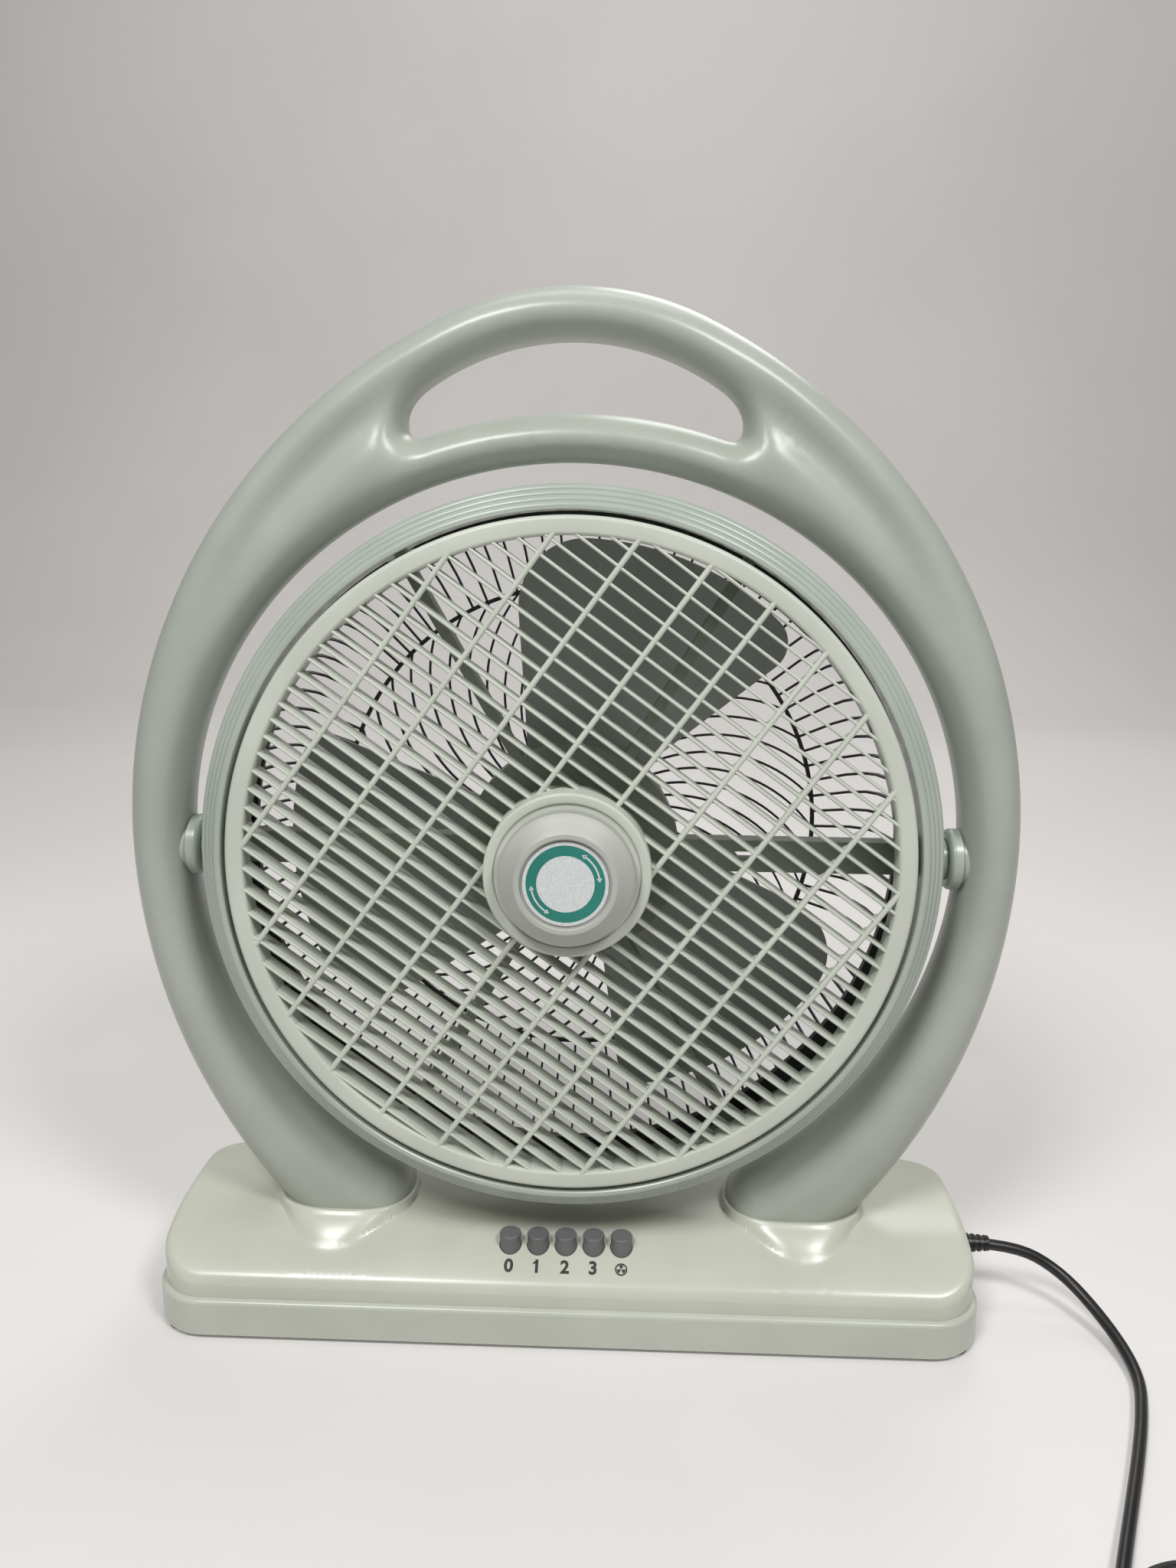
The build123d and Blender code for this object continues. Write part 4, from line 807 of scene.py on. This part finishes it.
ring = piece("drum_shell", shape, drum_frame, ring_plastic, "drum")
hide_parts("drum_ring")

# Rear guard: a rim, side wires that bend into the back, a mid ring and swept wires round a small hub
WIRE_HALF = 0.65
WIRE_DEPTH = 2.0
GUARD_BACK = 76.0
GUARD_RING = 145.0
GUARD_RING_HALF = 1.2
GUARD_RING_PROUD = 0.2
GUARD_HUB = 42.0
GUARD_HUB_DEPTH = 3.0
GUARD_HUB_BITE = 1.0
GUARD_RIM = (184.0, 196.0)
GUARD_RIM_DEPTH = 5.0
SIDE_WIRES = 96
SWEPT_WIRES = 48
SWEPT_POINTS = 24
SWEEP = (0.0, 16.0, 38.0)
wire_front = GUARD_BACK - WIRE_DEPTH
SIDE_OUTER = [(193.0, 20.5), (184.5, 60.0), (178.75, 70.5), (168.0, GUARD_BACK), (GUARD_RING, GUARD_BACK)]
SIDE_INNER = [(191.0, 20.5), (182.5, 59.4), (177.2, 69.0), (167.2, wire_front), (GUARD_RING, wire_front)]


def add_wire(shape, corners):
    """A wire of four-cornered sections, closed at both ends."""
    rings = [[shape.verts.new(corner) for corner in ring] for ring in corners]
    for near, far in zip(rings[:-1], rings[1:]):
        bridge(shape, near, far)
    shape.faces.new(rings[0])
    shape.faces.new(rings[-1])


def circle_through(first, second, third):
    """Centre of the circle through three points."""
    (ax, ay), (bx, by), (cx, cy) = first, second, third
    scale = 2 * (ax * (by - cy) + bx * (cy - ay) + cx * (ay - by))
    a, b, c = ax * ax + ay * ay, bx * bx + by * by, cx * cx + cy * cy
    x = (a * (by - cy) + b * (cy - ay) + c * (ay - by)) / scale
    z = (a * (cx - bx) + b * (ax - cx) + c * (bx - ax)) / scale
    return x, z


# Side wires
shape = bmesh.new()
for k in range(SIDE_WIRES):
    turn = Matrix.Rotation(2 * math.pi * k / SIDE_WIRES, 4, "Y")
    rings = []
    for (outer_r, outer_y), (inner_r, inner_y) in zip(SIDE_OUTER, SIDE_INNER):
        rings.append([
            turn @ Vector((-WIRE_HALF, outer_y, outer_r)),
            turn @ Vector((WIRE_HALF, outer_y, outer_r)),
            turn @ Vector((WIRE_HALF, inner_y, inner_r)),
            turn @ Vector((-WIRE_HALF, inner_y, inner_r)),
        ])
    add_wire(shape, rings)

# Swept wires, each an arc through three points
sweep_radii = (GUARD_HUB - GUARD_HUB_BITE, (GUARD_HUB + GUARD_RING) / 2, GUARD_RING)
sweep_turns = [math.radians(angle) for angle in SWEEP]
sweep_points = [(r * math.sin(turn), r * math.cos(turn)) for r, turn in zip(sweep_radii, sweep_turns)]
sweep_centre = circle_through(*sweep_points)
sweep_radius = math.dist(sweep_centre, sweep_points[0])
sweep_start, _, sweep_end = (
    math.degrees(math.atan2(z - sweep_centre[1], x - sweep_centre[0])) for x, z in sweep_points
)
if abs(sweep_end - sweep_start) > 180:
    sweep_end += math.copysign(360, sweep_start - sweep_end)
near_arc = arc(sweep_centre, sweep_radius - WIRE_HALF, sweep_start, sweep_end, SWEPT_POINTS)
far_arc = arc(sweep_centre, sweep_radius + WIRE_HALF, sweep_start, sweep_end, SWEPT_POINTS)
for k in range(SWEPT_WIRES):
    turn = Matrix.Rotation(2 * math.pi * k / SWEPT_WIRES, 4, "Y")
    rings = []
    for (x0, z0), (x1, z1) in zip(near_arc, far_arc):
        rings.append([
            turn @ Vector((x0, GUARD_BACK, z0)),
            turn @ Vector((x1, GUARD_BACK, z1)),
            turn @ Vector((x1, wire_front, z1)),
            turn @ Vector((x0, wire_front, z0)),
        ])
    add_wire(shape, rings)

# Mid ring, hub and rim
ring_in, ring_out = GUARD_RING - GUARD_RING_HALF, GUARD_RING + GUARD_RING_HALF
add_lathe(shape, hoop(ring_in, ring_out, wire_front - GUARD_RING_PROUD, GUARD_BACK))
add_lathe(shape, hoop(0.0, GUARD_HUB, GUARD_BACK - GUARD_HUB_DEPTH, GUARD_BACK))
add_lathe(shape, hoop(*GUARD_RIM, RING_REAR, RING_REAR + GUARD_RIM_DEPTH))
guard = piece("guard_wires", shape, drum_frame, guard_plastic, "drum")
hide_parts("rear_guard")

# Turning louver: rim, slats with rounded fronts, half-round bars, gussets behind each crossing and the hub
LOUVER_TURN = math.radians(36.0)
LOUVER_RADIUS = 183.0
LOUVER_INNER = 173.0
LOUVER_FRONT = -42.0
LOUVER_BACK = -28.0
SLAT_PITCH = 9.45
SLAT_HALF = 0.85
SLAT_BACK_HALF = 0.65
SLAT_FRONT = -41.4
SLAT_BACK = -28.4
SLATS_EACH_SIDE = 18
BAR_PITCH = 36.5
BAR_HALF = 1.5
BAR_BACK_HALF = 1.3
BAR_DEPTH = 3.4
BARS_EACH_SIDE = 4
RIM_BITE = 2.0
RIM_OUTER_ROUND = 2.5
RIM_INNER_ROUND = 2.0
GUSSET = [(-39.0, 0.6), (-33.6, 0.6), (-34.4, 2.0), (-35.8, 3.2), (-37.4, 3.9), (-39.0, 4.1)]
GUSSET_HALF = 1.1
GUSSET_HUB_GAP = 3.0
GUSSET_RIM_GAP = 5.0
HUB_RADIUS = 44.0
HUB_CLEAR = 42.8
HUB_BORE = 4.1
HUB_FACE = -51.8
HUB_FACE_RADIUS = 38.2
HUB_LIP_FRONT = -53.0
HUB_LIP_INNER = 38.5
HUB_INNER_ROUND = 0.8
HUB_OUTER_ROUND = 1.6
HUB_SKIRT_BACK = -30.0
HUB_SKIRT_INNER = 41.5
HUB_PLATE_BACK = -49.0
HUB_SLEEVE = 9.0
louver_frame = drum_frame @ Matrix.Rotation(LOUVER_TURN, 4, "Y")
slat_section = arc((SLAT_FRONT + SLAT_HALF, 0), SLAT_HALF, 270, 90, points=7)
slat_section += [(SLAT_BACK, SLAT_BACK_HALF), (SLAT_BACK, -SLAT_BACK_HALF)]
slat_zs = [k * SLAT_PITCH for k in range(-SLATS_EACH_SIDE, SLATS_EACH_SIDE + 1)]
bar_xs = [k * BAR_PITCH for k in range(-BARS_EACH_SIDE, BARS_EACH_SIDE + 1)]


def spans(offset, outer):
    """The stretches of a chord at an offset that lie inside the rim and outside the hub."""
    end = math.sqrt(outer ** 2 - offset ** 2)
    if abs(offset) >= HUB_CLEAR:
        return [(-end, end)]
    gap = math.sqrt(HUB_CLEAR ** 2 - offset ** 2)
    return [(-end, -gap), (gap, end)]


shape = bmesh.new()
for z in slat_zs:
    section = [(y, z + dz) for y, dz in slat_section]
    for x0, x1 in spans(z, LOUVER_INNER + RIM_BITE):
        add_bar(shape, section, x0, x1)
slats = piece("louver_slats", shape, louver_frame, louver_plastic, "louver")
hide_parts("louver_grille")

# Louver bars, across the slats
bar_section = arc((LOUVER_FRONT + BAR_HALF, 0), BAR_HALF, 270, 90, points=9)
bar_back = LOUVER_FRONT + BAR_DEPTH
bar_section += [(bar_back, BAR_BACK_HALF), (bar_back, -BAR_BACK_HALF)]
upright = Matrix.Rotation(math.radians(90), 4, "Y")
shape = bmesh.new()
for x in bar_xs:
    section = [(y, x + dz) for y, dz in bar_section]
    for z0, z1 in spans(x, LOUVER_INNER + RIM_BITE):
        add_bar(shape, section, z0, z1)
piece("louver_bars", shape, louver_frame @ upright, louver_plastic, "louver")

# Gussets behind the crossings
shape = bmesh.new()
for z in slat_zs:
    for x in bar_xs:
        if HUB_RADIUS + GUSSET_HUB_GAP < math.hypot(x, z) < LOUVER_INNER - GUSSET_RIM_GAP:
            add_bar(shape, [(y, z + dz) for y, dz in GUSSET], x - GUSSET_HALF, x + GUSSET_HALF)
piece("louver_gussets", shape, louver_frame, louver_plastic, "louver")

# Louver rim
outer_centre = (LOUVER_RADIUS - RIM_OUTER_ROUND, LOUVER_FRONT + RIM_OUTER_ROUND)
inner_centre = (LOUVER_INNER + RIM_INNER_ROUND, LOUVER_FRONT + RIM_INNER_ROUND)
rim_outline = arc(outer_centre, RIM_OUTER_ROUND, 0, -90)
rim_outline += arc(inner_centre, RIM_INNER_ROUND, 270, 180)
rim_outline += [(LOUVER_INNER, LOUVER_BACK), (LOUVER_RADIUS, LOUVER_BACK)]
shape = bmesh.new()
add_lathe(shape, rim_outline, steps=RING_STEPS)
piece("louver_rim", shape, louver_frame, louver_plastic, "louver")

# Louver hub
inner_centre = (HUB_LIP_INNER + HUB_INNER_ROUND, HUB_LIP_FRONT + HUB_INNER_ROUND)
outer_centre = (HUB_RADIUS - HUB_OUTER_ROUND, HUB_LIP_FRONT + HUB_OUTER_ROUND)
hub_outline = [(HUB_BORE, HUB_FACE), (HUB_FACE_RADIUS, HUB_FACE)]
hub_outline += arc(inner_centre, HUB_INNER_ROUND, 180, 270, points=4)
hub_outline += arc(outer_centre, HUB_OUTER_ROUND, -90, 0)
hub_outline += [
    (HUB_RADIUS, HUB_SKIRT_BACK),
    (HUB_SKIRT_INNER, HUB_SKIRT_BACK),
    (HUB_SKIRT_INNER, HUB_PLATE_BACK),
    (HUB_SLEEVE, HUB_PLATE_BACK),
    (HUB_SLEEVE, LOUVER_BACK),
    (HUB_BORE, LOUVER_BACK),
]
shape = bmesh.new()
add_lathe(shape, hub_outline)
piece("louver_hub", shape, louver_frame, louver_plastic, "louver")

# Knob with a finely toothed edge
KNOB_TEETH = 180
KNOB_TEETH_FROM = (34.0, -60.0)
KNOB_TOOTH = 0.5
KNOB_SHARP = 28
KNOB_FRONT = -69.1
KNOB_BACK = -52.1
KNOB_RADIUS = 35.5
KNOB_EDGE_FRONT = -59.4
KNOB_RECESS = 23.4
KNOB_RECESS_FLOOR = -66.5
KNOB_RECESS_TOP = -68.2
KNOB_RECESS_ROUND = 0.7
KNOB_NOSE_RADIUS = 25.9
KNOB_NOSE_ROUND = 1.0
KNOB_CONE = [(29.5, -65.9), (32.4, -63.1)]
KNOB_CONE_TURN = -46
KNOB_SHOULDER = (34.2, -60.1)
KNOB_SHOULDER_ROUND = 1.2
recess_centre = (KNOB_RECESS + KNOB_RECESS_ROUND, KNOB_FRONT + KNOB_RECESS_ROUND)
nose_centre = (KNOB_NOSE_RADIUS, KNOB_FRONT + KNOB_NOSE_ROUND)
knob_outline = [(0.0, KNOB_RECESS_FLOOR), (KNOB_RECESS, KNOB_RECESS_FLOOR), (KNOB_RECESS, KNOB_RECESS_TOP)]
knob_outline += arc(recess_centre, KNOB_RECESS_ROUND, 180, 270, points=5)
knob_outline += arc(nose_centre, KNOB_NOSE_ROUND, -90, KNOB_CONE_TURN, points=5)
knob_outline += KNOB_CONE
knob_outline += arc(KNOB_SHOULDER, KNOB_SHOULDER_ROUND, KNOB_CONE_TURN, 0, points=4)
knob_outline += [(KNOB_RADIUS, KNOB_EDGE_FRONT), (KNOB_RADIUS, KNOB_BACK), (0.0, KNOB_BACK)]
shape = bmesh.new()
add_lathe(shape, knob_outline, steps=2 * KNOB_TEETH, teeth=(*KNOB_TEETH_FROM, KNOB_TOOTH))
knob = piece("knob_grip", shape, drum_frame, knob_plastic, "knob", sharp=KNOB_SHARP)
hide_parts("louver_knob")

# Printed ring and arrows on the knob's label
LABEL_FRONT = -67.3
LABEL_RING = (14.8, 20.2)
LABEL_PRINT = 0.06
ARROW_STARTS = (28.0, 208.0)
ARROW_TURN = 58.0
ARROW_RADIUS = 17.5
ARROW_HALF = 0.42
ARROW_HEAD = 2.2
ARROW_HEAD_HALF = 0.62
ARROW_OVERLAP = 0.6
ARROW_STEPS = 16
ARROW_PROUD = 0.1
shape = bmesh.new()
add_lathe(shape, hoop(*LABEL_RING, LABEL_FRONT - LABEL_PRINT, LABEL_FRONT))
piece("label_ring", shape, drum_frame, teal_ink, "knob")


def add_curved_arrow(shape, start, end):
    """A double-headed arrow along a circle, angles clockwise from the top, as a flat print."""
    lift = Vector((0, LABEL_FRONT - ARROW_PROUD, 0))

    def at(radius, degrees):
        turn = math.radians(degrees)
        return lift + Vector((radius * math.sin(turn), 0, radius * math.cos(turn)))

    head_turn = math.degrees(ARROW_HEAD / ARROW_RADIUS)
    first = start + head_turn * ARROW_OVERLAP
    sweep = end - start - head_turn * (2 * ARROW_OVERLAP)
    inner = []
    outer = []
    for k in range(ARROW_STEPS + 1):
        turn = first + sweep * k / ARROW_STEPS
        inner.append(shape.verts.new(at(ARROW_RADIUS - ARROW_HALF, turn)))
        outer.append(shape.verts.new(at(ARROW_RADIUS + ARROW_HALF, turn)))
    for k in range(ARROW_STEPS):
        shape.faces.new((inner[k], inner[k + 1], outer[k + 1], outer[k]))
    head_half = ARROW_HEAD * ARROW_HEAD_HALF
    for tip, base in ((start, start + head_turn), (end, end - head_turn)):
        corners = [(ARROW_RADIUS, tip), (ARROW_RADIUS - head_half, base), (ARROW_RADIUS + head_half, base)]
        shape.faces.new([shape.verts.new(at(*corner)) for corner in corners])


shape = bmesh.new()
for start in ARROW_STARTS:
    add_curved_arrow(shape, start, start + ARROW_TURN)
piece("label_arrows", shape, drum_frame, label_paper, "knob")

# Printed marks under the buttons, laid on the crowned cover
MARK_Y = -51.5
MARK_SIZE = 10.2
MARK_BOLD = 0.32
MARK_REACH = 3.0
MARK_PROUD = 0.3
ONE_FLAG = [(-0.3, 3.75), (-2.1, 2.45), (-2.1, 1.35), (-0.3, 2.4)]


def mark_frame(x):
    """A place just above the cover under a button, tilted with the cover's slope there."""
    rise_there = cover_height(MARK_Y + MARK_REACH) - cover_height(MARK_Y - MARK_REACH)
    slope = math.atan2(rise_there, 2 * MARK_REACH)
    place = Matrix.Translation((x, MARK_Y, cover_height(MARK_Y) + MARK_PROUD))
    return stand_frame @ place @ Matrix.Rotation(slope, 4, "X")


def with_flag(mesh, corners):
    """Add a slanted stroke at the head of a plain upright."""
    shape = bmesh.new()
    shape.from_mesh(mesh)
    shape.faces.new([shape.verts.new((x, y, 0)) for x, y in reversed(corners)])
    shape.to_mesh(mesh)
    shape.free()
    return mesh


for digit, x in zip("0123", BUTTON_XS):
    data = bpy.data.curves.new("mark_" + digit, "FONT")
    data.body = digit
    data.size = MARK_SIZE
    data.offset = MARK_BOLD
    data.align_x = "CENTER"
    data.align_y = "CENTER"
    text = bpy.data.objects.new("text_" + digit, data)
    mesh = bpy.data.meshes.new_from_object(text)
    bpy.data.objects.remove(text)
    if digit == "1":
        mesh = with_flag(mesh, ONE_FLAG)
    mesh.transform(mark_frame(x))
    mesh.materials.clear()
    mesh.materials.append(black_ink)
    mark = bpy.data.objects.new("mark_" + digit, mesh)
    scene.collection.objects.link(mark)
    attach(mark, "stand")

# The fifth button turns the louver, so its mark is a plain ring with three vanes
SIGN_RADIUS = 3.5
SIGN_LINE = 0.75
SIGN_STEPS = 48
VANES = 3
VANE_STEPS = 12
VANE_INNER = 0.3
VANE_OUTER = 2.5
VANE_TURN = 32.0


def flat_ring(shape, inner, outer, start, end, steps):
    """A flat stretch of a ring, angles clockwise from the top."""
    rows = []
    for k in range(steps + 1):
        turn = math.radians(start + (end - start) * k / steps)
        sine, cosine = math.sin(turn), math.cos(turn)
        rows.append([shape.verts.new((radius * sine, radius * cosine, 0)) for radius in (inner, outer)])
    for near, far in zip(rows[:-1], rows[1:]):
        shape.faces.new((near[0], far[0], far[1], near[1]))


shape = bmesh.new()
flat_ring(shape, SIGN_RADIUS - SIGN_LINE, SIGN_RADIUS, 0, 360, SIGN_STEPS)
for vane in range(VANES):
    middle = 360 * vane / VANES
    flat_ring(shape, VANE_INNER, VANE_OUTER, middle - VANE_TURN, middle + VANE_TURN, VANE_STEPS)
piece("mark_turn", shape, mark_frame(BUTTON_XS[-1]), black_ink, "stand")

# Flat tie round the wound lead
TIE_WIDE = 23.6
TIE_HIGH = 15.7
TIE_CORNER = 4.2
TIE_HALF_WIDTH = 3.0
TIE_RADIUS = 34.35
TIE_THICK = 0.9


def tie_loop(grow):
    """The tie's rounded loop across the coil, moved out by half its thickness or in."""
    half_wide = TIE_WIDE / 2 - TIE_CORNER
    half_high = TIE_HIGH / 2 - TIE_CORNER
    loop = []
    for k, (sx, sz) in enumerate(QUARTERS):
        loop += arc((sx * half_wide, sz * half_high), TIE_CORNER + grow, 90 * k, 90 * k + 90)
    return loop


tie_place = coil_centre - heading * TIE_RADIUS
tie_frame = stand_frame @ Matrix.Translation((tie_place.x, tie_place.y, (COIL_LOW + COIL_HIGH) / 2))
tie_frame = tie_frame @ Matrix((-outward, heading, Vector((0, 0, 1)))).transposed().to_4x4()
shape = bmesh.new()
loops = []
for x in (-TIE_HALF_WIDTH, TIE_HALF_WIDTH):
    for grow in (-TIE_THICK / 2, TIE_THICK / 2):
        loops.append([shape.verts.new((x, y, z)) for y, z in tie_loop(grow)])
for a, b in ((0, 1), (1, 3), (3, 2), (2, 0)):
    bridge(shape, loops[a], loops[b])
tie = piece("lead_tie", shape, tie_frame, lead_vinyl, "stand")
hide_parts("cord_tie")

# Pale seamless backdrop, soft light and world
BACKDROP_HALF = 6.0
BACKDROP_FRONT = -4.0
BACKDROP_TURN = 1.8
BACKDROP_RADIUS = 1.0
BACKDROP_TOP = 4.5
BACKDROP_GLOW = (0.10, 0.097, 0.095, 1)
WORLD_TINT = (0.80, 0.79, 0.78, 1)
WORLD_LIGHT = 0.18
WORLD_SHOWN = 0.45


def seen_rays(tree):
    """One for rays from the camera, straight or by way of gloss or glass, and nought for the rest."""
    path = tree.nodes.new("ShaderNodeLightPath")
    outlet = path.outputs["Is Camera Ray"]
    for kind in ("Is Glossy Ray", "Is Transmission Ray"):
        either = tree.nodes.new("ShaderNodeMath")
        either.operation = "MAXIMUM"
        tree.links.new(outlet, either.inputs[0])
        tree.links.new(path.outputs[kind], either.inputs[1])
        outlet = either.outputs[0]
    return outlet


def backdrop():
    """A floor that turns up into a wall in one sweep."""
    profile = [(BACKDROP_FRONT, 0.0)]
    profile += arc((BACKDROP_TURN, BACKDROP_RADIUS), BACKDROP_RADIUS, -90, 0, points=24)
    profile.append((BACKDROP_TURN + BACKDROP_RADIUS, BACKDROP_TOP))
    shape = bmesh.new()
    ends = [[shape.verts.new((x, y, z)) for y, z in profile] for x in (-BACKDROP_HALF, BACKDROP_HALF)]
    for k in range(len(profile) - 1):
        shape.faces.new((ends[0][k], ends[1][k], ends[1][k + 1], ends[0][k + 1]))
    mesh = bpy.data.meshes.new("backdrop")
    shape.to_mesh(mesh)
    shape.free()
    mesh.shade_smooth()
    paint = finish("backdrop_paint", (0.66, 0.64, 0.625), (0.70, 0.68, 0.665), mottle=1.5, rough=(0.7, 0.8))
    shader = paint.node_tree.nodes["Principled BSDF"]
    shader.inputs["Emission Color"].default_value = BACKDROP_GLOW
    paint.node_tree.links.new(seen_rays(paint.node_tree), shader.inputs["Emission Strength"])
    mesh.materials.append(paint)
    sweep = bpy.data.objects.new("backdrop", mesh)
    scene.collection.objects.link(sweep)
    return sweep


backdrop()


def soft_light(name, place, aim, size, power):
    """A round lamp at a place in metres, turned to a point."""
    data = bpy.data.lights.new(name, "AREA")
    data.shape = "DISK"
    data.size = size
    data.energy = power
    light = bpy.data.objects.new(name, data)
    scene.collection.objects.link(light)
    light.location = place
    light.rotation_euler = (Vector(aim) - Vector(place)).to_track_quat("-Z", "Y").to_euler()


soft_light("ceiling", place=(-0.55, -1.1, 1.8), aim=(0, 0, 0.2), size=0.6, power=23)
soft_light("side", place=(0.8, -1.0, 1.7), aim=(0, 0, 0.2), size=0.5, power=17)
soft_light("wall", place=(0, 0.9, 2.6), aim=(0, 2.6, 0.9), size=1.6, power=18)
soft_light("back", place=(0.5, 1.5, 1.7), aim=(0, 0, 0.25), size=1.0, power=8)

world = bpy.data.worlds.new("studio")
scene.world = world
world.use_nodes = True
world_tree = world.node_tree
lit = world_tree.nodes["Background"]
lit.inputs["Color"].default_value = WORLD_TINT
lit.inputs["Strength"].default_value = WORLD_LIGHT
shown = world_tree.nodes.new("ShaderNodeBackground")
shown.inputs["Color"].default_value = WORLD_TINT
shown.inputs["Strength"].default_value = WORLD_SHOWN
either = world_tree.nodes.new("ShaderNodeMixShader")
world_tree.links.new(seen_rays(world_tree), either.inputs["Fac"])
world_tree.links.new(lit.outputs["Background"], either.inputs[1])
world_tree.links.new(shown.outputs["Background"], either.inputs[2])
world_tree.links.new(either.outputs["Shader"], world_tree.nodes["World Output"].inputs["Surface"])
